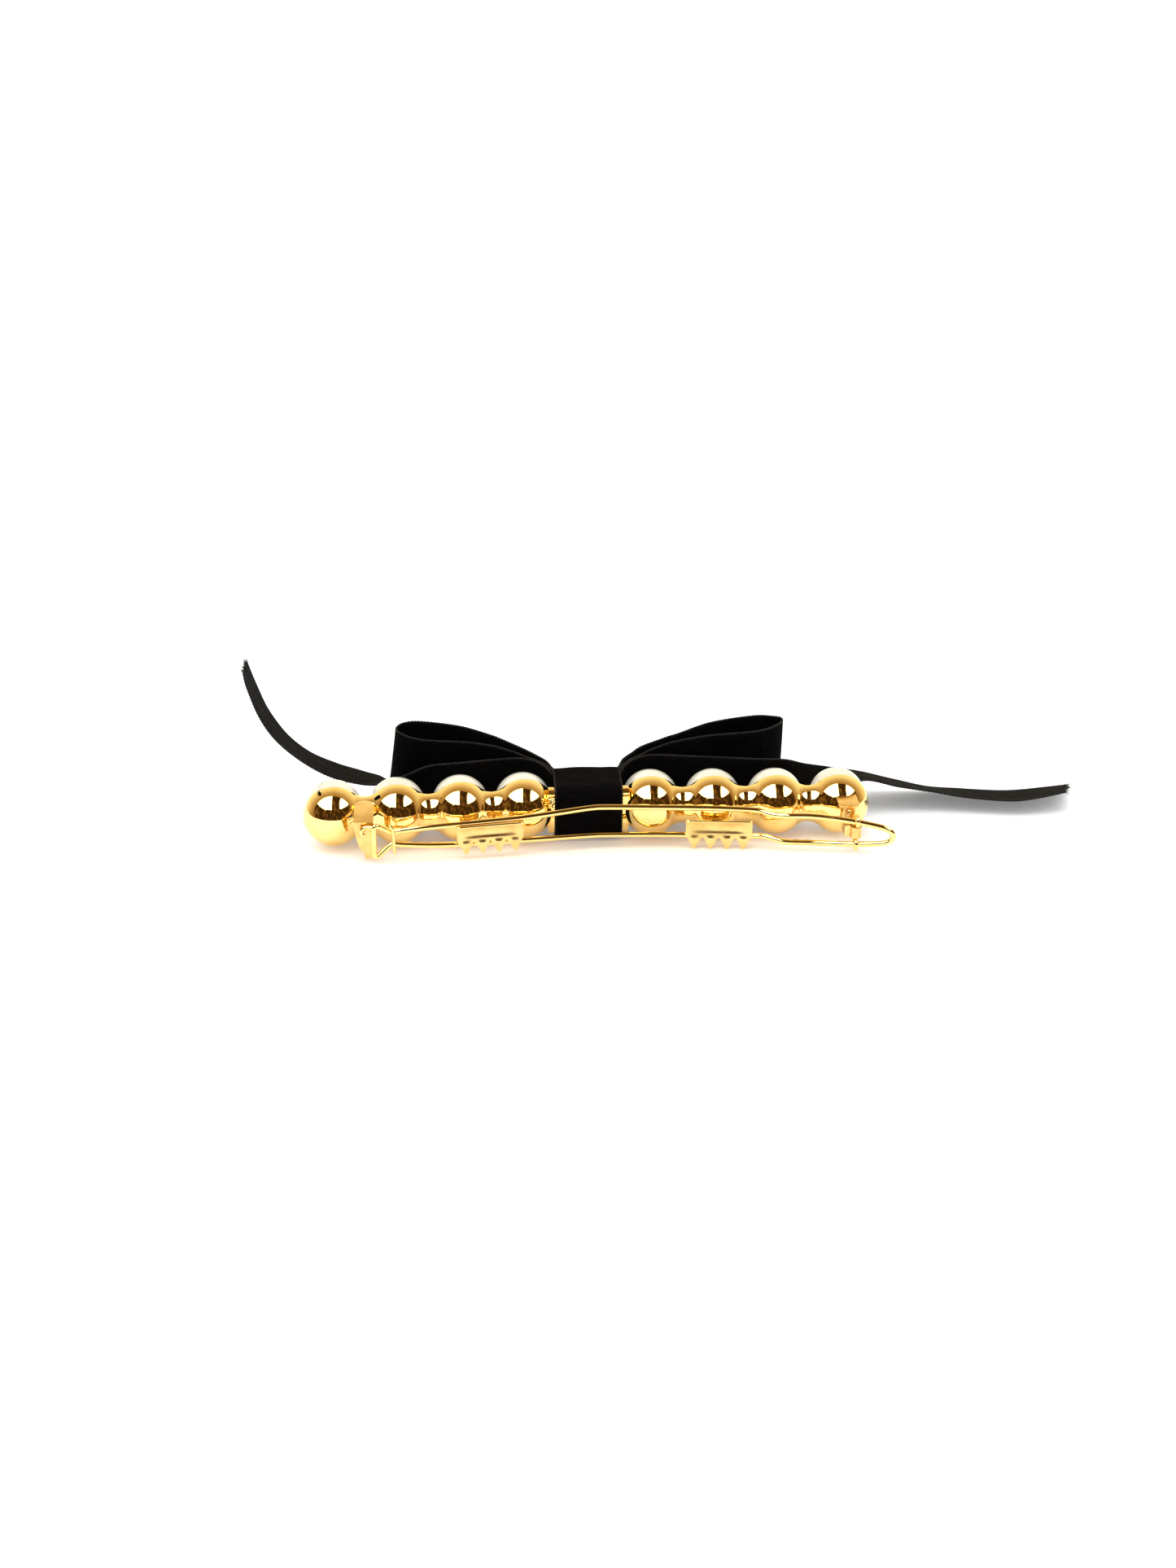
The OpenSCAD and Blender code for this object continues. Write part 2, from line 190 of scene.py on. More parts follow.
class Board:
    """A node tree that is being built."""

    def __init__(self, tree: bpy.types.NodeTree) -> None:
        """Start from an empty tree."""
        self.tree = tree
        tree.nodes.clear()

    def node(
        self,
        kind: str,
        settings: dict[str, Any] | None = None,
        inputs: dict[Any, Any] | None = None,
        output: Any = 0,
    ) -> Wire:
        """Add a node.

        Args:
            kind: The node's type.
            settings: Its properties.
            inputs: Values or wires for its sockets, by name or number.
            output: The output that the wire carries, by name or number.

        Returns:
            A wire from that output.
        """
        made = self.tree.nodes.new(kind)
        for name, value in (settings or {}).items():
            setattr(made, name, value)
        for name, value in (inputs or {}).items():
            socket = made.inputs[name]
            if isinstance(value, Wire):
                self.tree.links.new(value.socket, socket)
            else:
                socket.default_value = value
        return Wire(self, made.outputs[output] if len(made.outputs) else None)

    def mix(self, factor: Any, first: Any, second: Any) -> Wire:
        """Blend two colours.

        Args:
            factor: 0 for the first, 1 for the second.
            first: A colour or a wire.
            second: A colour or a wire.

        Returns:
            The wire that carries the blend.
        """
        colours = [c if isinstance(c, Wire) else (*c, 1.0) for c in (first, second)]
        return self.node(
            "ShaderNodeMix",
            {"data_type": "RGBA"},
            {0: factor, 6: colours[0], 7: colours[1]},
            2,
        )

    def grain(self, size: float, detail: float = 2.0) -> Wire:
        """Noise that is fixed to the piece.

        Args:
            size: The size of the grain in metres.
            detail: How many finer layers it has.

        Returns:
            A wire from 0 to 1.
        """
        coordinates = self.node("ShaderNodeTexCoord", output="Object")
        return self.node(
            "ShaderNodeTexNoise",
            inputs={"Vector": coordinates, "Scale": 1.0 / size, "Detail": detail},
        )

    def bump(self, height: Wire, strength: float, distance: float) -> Wire:
        """Turn a height into a normal.

        Args:
            height: The height, from 0 to 1.
            strength: How strongly it shows.
            distance: The height's real size in metres.

        Returns:
            The wire that carries the normal.
        """
        return self.node(
            "ShaderNodeBump",
            inputs={"Height": height, "Strength": strength, "Distance": distance},
        )


class Finish:
    """A surface finish, which makes its material when it is first asked for."""

    title = "finish"

    def __init__(self) -> None:
        """Start without a material."""
        self._made: bpy.types.Material | None = None

    def material(self) -> bpy.types.Material:
        """Return the material, and make it the first time."""
        if self._made is None:
            self._made = bpy.data.materials.new(self.title)
            self._made.use_nodes = True
            board = Board(self._made.node_tree)
            shader = self.shade(board)
            board.node("ShaderNodeOutputMaterial", inputs={"Surface": shader})
        return self._made

    def shade(self, board: Board) -> Wire:
        """Build the surface.

        Args:
            board: The tree to build in.

        Returns:
            The wire that carries the surface's shader.
        """
        raise NotImplementedError


class BrightGold(Finish):
    """Polished gold plate."""

    title = "bright_gold"
    base: Colour = (1.0, 0.78, 0.32)
    deep: Colour = (0.98, 0.70, 0.24)
    gloss = (0.035, 0.09)
    ripple = 0.012

    def shade(self, board: Board) -> Wire:
        """Gold that polishing has left with soft ripples and faint haze."""
        haze = board.grain(2.4 * MM, 3.0).stepped(0.35, 0.75)
        roughness = haze * (self.gloss[1] - self.gloss[0]) + self.gloss[0]
        normal = board.bump(board.grain(1.6 * MM, 1.0), self.ripple, 0.4 * MM)
        return board.node(
            "ShaderNodeBsdfPrincipled",
            inputs={
                "Base Color": board.mix(haze, self.base, self.deep),
                "Metallic": 1.0,
                "Roughness": roughness,
                "Normal": normal,
            },
        )


class PressedGold(BrightGold):
    """Gold plate on pressed sheet, a little duller and rippled by the press."""

    title = "pressed_gold"
    base: Colour = (0.92, 0.64, 0.24)
    deep: Colour = (0.76, 0.49, 0.16)
    gloss = (0.16, 0.28)
    ripple = 0.04


class PearlLustre(Finish):
    """Ivory pearl with a clear lustre."""

    title = "pearl_lustre"
    ivory: Colour = (0.80, 0.765, 0.64)
    # The yellower layer tone, also used as painted shade towards the pearl's outline.
    cream_and_outline_shade: Colour = (0.70, 0.66, 0.52)

    def shade(self, board: Board) -> Wire:
        """Layers of ivory and a yellower tone under a clear coat, with painted shade in the
        yellower tone towards the outline.
        """
        layers = board.grain(3.0 * MM, 2.0).stepped(0.35, 0.7)
        # Painted shade: the pearl turns to the yellower tone towards its outline as seen.
        painted_outline_shade = board.node("ShaderNodeLayerWeight", inputs={"Blend": 0.35}, output="Facing")
        body = board.mix(layers * 0.6 + painted_outline_shade * 0.4, self.ivory, self.cream_and_outline_shade)
        return board.node(
            "ShaderNodeBsdfPrincipled",
            inputs={
                "Base Color": body,
                "Roughness": layers * 0.08 + 0.22,
                "Coat Weight": 0.8,
                "Coat Roughness": 0.05,
                "Subsurface Weight": 0.12,
                "Subsurface Radius": (1.2 * MM, 0.9 * MM, 0.6 * MM),
            },
        )


class Velvet(Finish):
    """Black velvet pile."""

    title = "black_velvet"
    pit: Colour = (0.0006, 0.0005, 0.0006)
    tip: Colour = (0.0036, 0.0028, 0.0028)
    pile = 0.16 * MM
    nap = 1.4 * MM
    sheen = 0.002
    shine = 0.04
    roughness = 0.85
    relief = 0.55

    def shade(self, board: Board) -> Wire:
        """Fine tufts over patches of brushed nap."""
        tufts = board.grain(self.pile, 2.0)
        brushed = board.grain(self.nap, 3.0)
        shown = (tufts * 0.65 + brushed * 0.35).stepped(0.38, 0.68)
        return board.node(
            "ShaderNodeBsdfPrincipled",
            inputs={
                "Base Color": board.mix(shown, self.pit, self.tip),
                "Roughness": self.roughness,
                "Specular IOR Level": self.shine,
                "Sheen Weight": self.sheen,
                "Sheen Roughness": 0.35,
                "Sheen Tint": (0.55, 0.50, 0.52, 1.0),
                "Normal": board.bump(tufts, self.relief, 0.1 * MM),
            },
        )


class WovenEdge(Velvet):
    """The ribbon's woven edge, smoother and a little brighter than its pile."""

    title = "woven_edge"
    tip: Colour = (0.010, 0.0085, 0.0085)
    sheen = 0.012
    shine = 0.2
    roughness = 0.6
    relief = 0.2


class WhiteTable(Finish):
    """The white surface that the barrette stands on, with painted warm glow and painted warm
    shadow near the barrette.
    """

    title = "white_table"
    white: Colour = (0.93, 0.93, 0.93)
    # Painted warm glow: the light that the gold would throw onto the table, painted into the
    # table's colour.
    painted_gold_glow: Colour = (0.98, 0.84, 0.66)
    painted_glow_half = (44.0 * MM, 7.5 * MM)
    painted_glow_share = 0.7
    # Painted warm shadow on the table, under and just behind the barrette.
    painted_shadow: Colour = (0.70, 0.50, 0.33)
    painted_shadow_half = (41.0 * MM, 9.0 * MM)
    painted_shadow_back = 6.5 * MM
    painted_shadow_share = 0.85
    glow = 0.2

    def painted_light_oval(self, spot: Wire, half: tuple[float, float], back: float) -> Wire:
        """Fade from 1 to 0 towards the rim of a long oval on the table, the mask for painted glow
        and painted shadow.

        Args:
            spot: The place on the table, by its three parts.
            half: The oval's half length and half depth in metres.
            back: How far its middle lies behind the hair gap, in metres.

        Returns:
            The wire that carries the fade.
        """
        along = spot * (1 / half[0])
        deep = (spot.also("Y") - back) * (1 / half[1])
        return 1 - (along * along * along * along + deep * deep).stepped(0.0, 1.0)

    def shade(self, board: Board) -> Wire:
        """Matt white, with a painted warm glow where the gold's light would fall and a painted
        warm shadow under the barrette.
        """
        place = board.node("ShaderNodeTexCoord", output="Object")
        spot = board.node("ShaderNodeSeparateXYZ", inputs={0: place})
        # Mask of the painted warm glow, a long oval round the barrette.
        painted_glow_mask = self.painted_light_oval(spot, self.painted_glow_half, 0.0) * self.painted_glow_share
        # Mask of the painted warm shadow, which darkens the table's base colour below.
        inner = self.painted_light_oval(spot, self.painted_shadow_half, self.painted_shadow_back) * self.painted_shadow_share
        white_with_painted_glow = board.mix(painted_glow_mask, self.white, self.painted_gold_glow)
        return board.node(
            "ShaderNodeBsdfPrincipled",
            inputs={
                "Base Color": board.mix(inner, white_with_painted_glow, self.painted_shadow),
                "Roughness": 0.6,
                "Specular IOR Level": 0.2,
                "Emission Color": (*self.white, 1.0),
                "Emission Strength": self.glow,
            },
        )


@dataclass(frozen=True)
class Finishes:
    """The finishes that the pieces share."""

    gold: Finish = field(default_factory=BrightGold)
    pressed: Finish = field(default_factory=PressedGold)
    pearl: Finish = field(default_factory=PearlLustre)
    velvet: Finish = field(default_factory=Velvet)
    edge: Finish = field(default_factory=WovenEdge)
    table: Finish = field(default_factory=WhiteTable)


# ---------------------------------------------------------------- places and lines


@dataclass(frozen=True)
class Stance:
    """How the row stands in the frame."""

    lean: float
    middle: Vector
    hinge_x: float = 38.0
    hinge_y: float = -9.3

    @classmethod
    def of(cls, frame: dict[str, Any]) -> "Stance":
        """Read the stance from the arm's hinge.


        Returns:
            The stance.
        """
        hinge = next(j for j in frame["joints"] if j["name"] == "arm_hinge")
        axis = Vector(hinge["axis"])
        lean = math.atan2(-axis.y, axis.z)
        outward = Vector((0.0, math.cos(lean), math.sin(lean)))
        middle = Vector(hinge["pos_m"]) - Vector((cls.hinge_x * MM, 0.0, 0.0))
        return cls(lean, middle - outward * cls.hinge_y * MM)

    def row(self, x: float, y: float, z: float) -> Vector:
        """Turn a place in the row's own directions into the frame.

        Args:
            x: Along the row from its middle, in millimetres.
            y: Out through the pearls.
            z: Across the row.

        Returns:
            The place in metres.
        """
        c, s = math.cos(self.lean), math.sin(self.lean)
        return self.middle + Vector((x, y * c - z * s, y * s + z * c)) * MM

    def table(self, x: float, y: float, z: float) -> Vector:
        """Turn a place in the table's directions, from the row's middle, into the frame."""
        return self.middle + Vector((x, y, z)) * MM

    def matrix(self) -> Matrix:
        """Return the matrix from the row's millimetres to the frame's metres."""
        turn = Matrix.Rotation(self.lean, 4, "X")
        return Matrix.Translation(self.middle) @ turn @ Matrix.Scale(MM, 4)


def through(points: Sequence[Vector], i: int, t: float, closed: bool) -> Vector:
    """Find a place on the smooth curve through some points.

    Args:
        points: The points.
        i: The point that the stretch starts at.
        t: How far along the stretch, from 0 to 1.
        closed: Whether the curve is a ring.

    Returns:
        The place.
    """
    n = len(points)
    picked = [points[(i + k) % n if closed else min(max(i + k, 0), n - 1)] for k in (-1, 0, 1, 2)]
    a, b, c, d = picked
    return 0.5 * (
        2 * b + (c - a) * t + (2 * a - 5 * b + 4 * c - d) * t**2 + (3 * b - a - 3 * c + d) * t**3
    )


def smooth(points: Sequence[Vector], steps: int, closed: bool = False) -> list[Vector]:
    """Sample the smooth curve through some points.

    Args:
        points: The points.
        steps: Samples to each stretch.
        closed: Whether the curve is a ring.

    Returns:
        The samples.
    """
    stretches = len(points) - (0 if closed else 1)
    line = [through(points, i, s / steps, closed) for i in range(stretches) for s in range(steps)]
    return line if closed else [*line, points[-1]]


def length_of(line: Sequence[Vector]) -> float:
    """Return the length of a line of points."""
    return sum((b - a).length for a, b in zip(line, line[1:]))


def evened(line: Sequence[Vector], count: int) -> list[Vector]:
    """Sample a line at even distances.

    Args:
        line: The line's points.
        count: How many samples to take.

    Returns:
        The samples, ends included.
    """
    marks = [0.0]
    for a, b in zip(line, line[1:]):
        marks.append(marks[-1] + (b - a).length)
    samples, k = [], 0
    for i in range(count):
        want = marks[-1] * i / (count - 1)
        while k < len(line) - 2 and marks[k + 1] < want:
            k += 1
        span = max(marks[k + 1] - marks[k], 1e-12)
        samples.append(line[k].lerp(line[k + 1], min((want - marks[k]) / span, 1.0)))
    return samples


# ---------------------------------------------------------------- meshes


def new_piece(name: str, mesh: bpy.types.Mesh, finish: Finish) -> bpy.types.Object:
    """Put a mesh in the scene.

    Args:
        name: The piece's name.
        mesh: Its mesh, in the frame's metres.
        finish: Its finish.

    Returns:
        The piece.
    """
    piece = bpy.data.objects.new(name, mesh)
    bpy.context.scene.collection.objects.link(piece)
    mesh.materials.clear()
    mesh.materials.append(finish.material())
    return piece


def mesh_of(name: str, points: Iterable[Vector], faces: Iterable[Sequence[int]]) -> bpy.types.Mesh:
    """Make a mesh from points and faces, with smooth faces that point outwards."""
    mesh = bpy.data.meshes.new(name)
    mesh.from_pydata([tuple(p) for p in points], [], [tuple(f) for f in faces])
    mended(mesh)
    return mesh


def mended(mesh: bpy.types.Mesh, join: float = 1e-7, outward: bool = True) -> None:
    """Merge doubles, turn faces outwards and shade them smooth.

    Args:
        mesh: The mesh.
        join: How near two points are merged, in metres.
        outward: Whether to turn the faces.
    """
    work = bmesh.new()
    work.from_mesh(mesh)
    bmesh.ops.remove_doubles(work, verts=work.verts, dist=join)
    if outward:
        bmesh.ops.recalc_face_normals(work, faces=work.faces)
    for face in work.faces:
        face.smooth = True
    work.to_mesh(mesh)
    work.free()
    mesh.update()


def creased(mesh: bpy.types.Mesh, degrees: float) -> None:
    """Keep edges sharper than an angle crisp."""
    mesh.set_sharp_from_angle(angle=math.radians(degrees))


def shaded_smooth(mesh: bpy.types.Mesh) -> None:
    """Shade a mesh smooth."""
    for face in mesh.polygons:
        face.use_smooth = True


def baked(piece: bpy.types.Object) -> None:
    """Apply a piece's modifiers."""
    depsgraph = bpy.context.evaluated_depsgraph_get()
    solid = bpy.data.meshes.new_from_object(piece.evaluated_get(depsgraph), depsgraph=depsgraph)
    piece.modifiers.clear()
    piece.data = solid


def thickened(piece: bpy.types.Object, title: str, thick: float) -> None:
    """Give a sheet its thickness, half to each side.

    Args:
        piece: The sheet.
        title: The modifier's name.
        thick: The thickness in millimetres.
    """
    solid = piece.modifiers.new(title, "SOLIDIFY")
    solid.thickness = thick * MM
    solid.offset = 0.0
    baked(piece)
    mended(piece.data)


def tube_mesh(
    name: str,
    line: Sequence[Vector],
    radius: Callable[[float], float],
    sides: int = 20,
    closed: bool = False,
) -> bpy.types.Mesh:
    """Sweep a round wire along a line.

    Args:
        name: The mesh's name.
        line: The wire's middle line, in metres.
        radius: The wire's radius in metres, by the share of the line from 0 to 1.
        sides: Points round the wire.
        closed: Whether the wire is a ring.

    Returns:
        The mesh.
    """
    n = len(line)
    ahead = []
    for i in range(n):
        before = line[(i - 1) % n] if closed else line[max(i - 1, 0)]
        after = line[(i + 1) % n] if closed else line[min(i + 1, n - 1)]
        ahead.append((after - before).normalized())
    across = ahead[0].cross(Vector((0.013, 1.0, 0.021))).normalized()
    points = []
    for i, tangent in enumerate(ahead):
        across = (across - tangent * across.dot(tangent)).normalized()
        other = tangent.cross(across)
        r = radius(i / max(n - 1, 1))
        for k in range(sides):
            angle = math.tau * k / sides
            points.append(line[i] + (across * math.cos(angle) + other * math.sin(angle)) * r)
    faces = []
    for i in range(n if closed else n - 1):
        a, b = i * sides, (i + 1) % n * sides
        offset = nearest_turn(points, a, b, sides) if closed and i == n - 1 else 0
        for k in range(sides):
            m = (k + 1) % sides
            faces.append((a + k, a + m, b + (m + offset) % sides, b + (k + offset) % sides))
    if not closed:
        for end, inward in ((0, -1.0), (n - 1, 1.0)):
            tip = len(points)
            points.append(line[end] + ahead[end] * inward * radius(end / (n - 1)) * 0.5)
            for k in range(sides):
                faces.append((end * sides + k, end * sides + (k + 1) % sides, tip))
    return mesh_of(name, points, faces)


def nearest_turn(points: Sequence[Vector], a: int, b: int, sides: int) -> int:
    """Find how far a ring of points is turned against the ring that it joins."""
    return min(range(sides), key=lambda k: (points[a] - points[b + k]).length)


def grid_mesh(
    name: str, rows: Sequence[Sequence[Vector]], ring: bool = False, outward: bool = False
) -> bpy.types.Mesh:
    """Make a sheet from rows of points.

    Args:
        name: The mesh's name.
        rows: Rows of points, one for each step along the sheet.
        ring: Whether the last row joins the first.
        outward: Whether to turn the faces outwards.

    Returns:
        The mesh.
    """
    n, m = len(rows), len(rows[0])
    points = [p for row in rows for p in row]
    faces = []
    for i in range(n if ring else n - 1):
        a, b = i * m, (i + 1) % n * m
        faces += [(a + k, a + k + 1, b + k + 1, b + k) for k in range(m - 1)]
    mesh = bpy.data.meshes.new(name)
    mesh.from_pydata([tuple(p) for p in points], [], faces)
    shaded_smooth(mesh)
    if outward:
        mended(mesh)
    return mesh


# ---------------------------------------------------------------- geometry trees


class Repeat:
    """A geometry tree that puts small shapes on the points of a host piece."""

    def __init__(self, name: str, finish: Finish, sizes: dict[str, float]) -> None:
        """Make the tree's group, its inputs and its ends.

        Args:
            name: The tree's name.
            finish: The finish that the shapes get.
            sizes: The named inputs and their values.
        """
        self.tree = bpy.data.node_groups.new(name, "GeometryNodeTree")
        face = self.tree.interface
        face.new_socket(name="Host", in_out="INPUT", socket_type="NodeSocketGeometry")
        self.values = {}
        for title, value in sizes.items():
            made = face.new_socket(name=title, in_out="INPUT", socket_type="NodeSocketFloat")
            self.values[made.identifier] = value
        face.new_socket(name="Made", in_out="OUTPUT", socket_type="NodeSocketGeometry")
        self.board = Board(self.tree)
        self.start = self.board.node("NodeGroupInput")
        self.finish = finish

    def size(self, title: str) -> Wire:
        """Return the wire from a named input."""
        return self.start.also(title)

    def host(self) -> Wire:
        """Return the wire from the host's geometry."""
        return self.size("Host")

    def end(self, instances: Wire) -> None:
        """Close the tree: make the instances real and give them their finish."""
        real = self.board.node("GeometryNodeRealizeInstances", inputs={"Geometry": instances})
        shaded = self.board.node(
            "GeometryNodeSetShadeSmooth", inputs={"Geometry": real, "Shade Smooth": True}
        )
        dressed = self.board.node(
            "GeometryNodeSetMaterial",
            inputs={"Geometry": shaded, "Material": self.finish.material()},
        )
        self.board.node("NodeGroupOutput", inputs={"Made": dressed})

    def grow(self, name: str, points: Sequence[Vector], spline: bool) -> bpy.types.Object:
        """Run the tree on a host and keep the result as a plain piece.

        Args:
            name: The piece's name.
            points: The host's points, in metres.
            spline: Whether the points are joined into a line.

        Returns:
            The piece.
        """
        edges = [(i, i + 1) for i in range(len(points) - 1)] if spline else []
        mesh = bpy.data.meshes.new(name + "_host")
        mesh.from_pydata([tuple(p) for p in points], edges, [])
        host = bpy.data.objects.new(name + "_host", mesh)
        bpy.context.scene.collection.objects.link(host)
        modifier = host.modifiers.new("repeat", "NODES")
        modifier.node_group = self.tree
        for identifier, value in self.values.items():
            modifier[identifier] = value
        depsgraph = bpy.context.evaluated_depsgraph_get()
        made = bpy.data.meshes.new_from_object(host.evaluated_get(depsgraph), depsgraph=depsgraph)
        host.modifiers.clear()
        bpy.data.objects.remove(host)
        made.name = name
        return new_piece(name, made, self.finish)


class Beads(Repeat):
    """Round beads, one on each point of the host."""

    def __init__(self, finish: Finish, radius: float, segments: int, rings: int) -> None:
        """Build the tree.

        Args:
            finish: The beads' finish.
            radius: A bead's radius in metres.
            segments: Faces round a bead.
            rings: Faces from pole to pole.
        """
        super().__init__("beads", finish, {"Radius": radius})
        bead = self.board.node(
            "GeometryNodeMeshUVSphere",
            inputs={"Segments": segments, "Rings": rings, "Radius": self.size("Radius")},
        )
        self.end(
            self.board.node(
                "GeometryNodeInstanceOnPoints", inputs={"Points": self.host(), "Instance": bead}
            )
        )


class Picots(Repeat):
    """The small loops of a woven edge, set along a line at an even pitch."""

    def __init__(self, finish: Finish, pitch: float, radius: float, long: float) -> None:
        """Build the tree.

        Args:
            finish: The loops' finish.
            pitch: The distance between loops in metres.
            radius: A loop's radius in metres.
            long: How much longer than wide a loop is.
        """
        super().__init__("picots", finish, {"Pitch": pitch, "Radius": radius, "Long": long})
        line = self.board.node("GeometryNodeMeshToCurve", inputs={"Mesh": self.host()})
        even = self.board.node(
            "GeometryNodeCurveToPoints",
            {"mode": "LENGTH"},
            {"Curve": line, "Length": self.size("Pitch")},
        )
        turn = even.also("Rotation")
        bead = self.board.node(
            "GeometryNodeMeshUVSphere",
            inputs={"Segments": 8, "Rings": 5, "Radius": self.size("Radius")},
        )
        shape = self.board.node(
            "ShaderNodeCombineXYZ", inputs={0: 1.0, 1: 1.0, 2: self.size("Long")}
        )
        self.end(
            self.board.node(
                "GeometryNodeInstanceOnPoints",
                inputs={"Points": even, "Instance": bead, "Rotation": turn, "Scale": shape},
            )
        )


class Fibres(Repeat):
    """Loose fibres that stand out of a cut edge, each turned and sized at random."""

    def __init__(self, finish: Finish, long: float, thin: float, outward: Vector) -> None:
        """Build the tree.

        Args:
            finish: The fibres' finish.
            long: A fibre's mean length in metres.
            thin: A fibre's radius in metres.
            outward: The way that the fibres point.
        """
        super().__init__("fibres", finish, {"Long": long, "Thin": thin, "Spread": 0.5})
        fibre = self.board.node(
            "GeometryNodeMeshCone",
            inputs={
                "Vertices": 5,
                "Radius Top": 0.0,
                "Radius Bottom": self.size("Thin"),
                "Depth": self.size("Long"),
            },
        )
        tilt = outward.to_track_quat("Z", "Y").to_euler()
        spread = self.size("Spread")
        least = self.board.node(
            "ShaderNodeCombineXYZ", inputs={i: tilt[i] - spread for i in range(3)}
        )
        most = self.board.node(
            "ShaderNodeCombineXYZ", inputs={i: tilt[i] + spread for i in range(3)}
        )
        turn = self.board.node(
            "FunctionNodeRandomValue",
            {"data_type": "FLOAT_VECTOR"},
            {"Min": least, "Max": most, "Seed": 7},
        )
        size = self.board.node(
            "FunctionNodeRandomValue",
            {"data_type": "FLOAT_VECTOR"},
            {"Min": (1.0, 1.0, 0.3), "Max": (1.0, 1.0, 1.3), "Seed": 11},
        )
        self.end(
            self.board.node(
                "GeometryNodeInstanceOnPoints",
                inputs={
                    "Points": self.host(),
                    "Instance": fibre,
                    "Rotation": turn,
                    "Scale": size,
                },
            )
        )


# ---------------------------------------------------------------- sub-assemblies


def dressed(
    piece: bpy.types.Object, body: Body, slot: Slot, nodes: Sequence[str] = ()
) -> bpy.types.Object:
    """Make a finished piece ride and stand for its nodes.

    Args:
        piece: The piece.
        body: The body that it rides on.
        slot: The record's slot for its finish; not used.
        nodes: The nodes that it stands for.

    Returns:
        The piece.
    """
    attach(piece, body.value)
    if nodes:
        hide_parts(*nodes)
    LOG.info("%s: %d faces, on %s", piece.name, len(piece.data.polygons), body.value)
    return piece


def softened(
    frame: dict[str, Any], node: str, name: str, finish: Finish, round_mm: float
) -> bpy.types.Object:
    """Copy a node's mesh, merge it and round its edges.

    Args:
        node: The node to copy.
        name: The new piece's name.
        finish: Its finish.
        round_mm: The radius of its edges.

    Returns:
        The new piece.
    """
    mesh = frame["nodes"][node].data.copy()
    mended(mesh, join=2e-6, outward=False)
    work = bmesh.new()
    work.from_mesh(mesh)
    bmesh.ops.dissolve_limit(
        work, angle_limit=math.radians(1.0), verts=work.verts, edges=work.edges
    )
    work.to_mesh(mesh)
    work.free()
    piece = new_piece(name, mesh, finish)
    bevel = piece.modifiers.new("rounding", "BEVEL")
    bevel.width = round_mm * MM
    bevel.segments = 3
    bevel.limit_method = "ANGLE"
    bevel.angle_limit = math.radians(35.0)
    bevel.harden_normals = False
    baked(piece)
    shaded_smooth(piece.data)
    creased(piece.data, 40.0)
    return piece


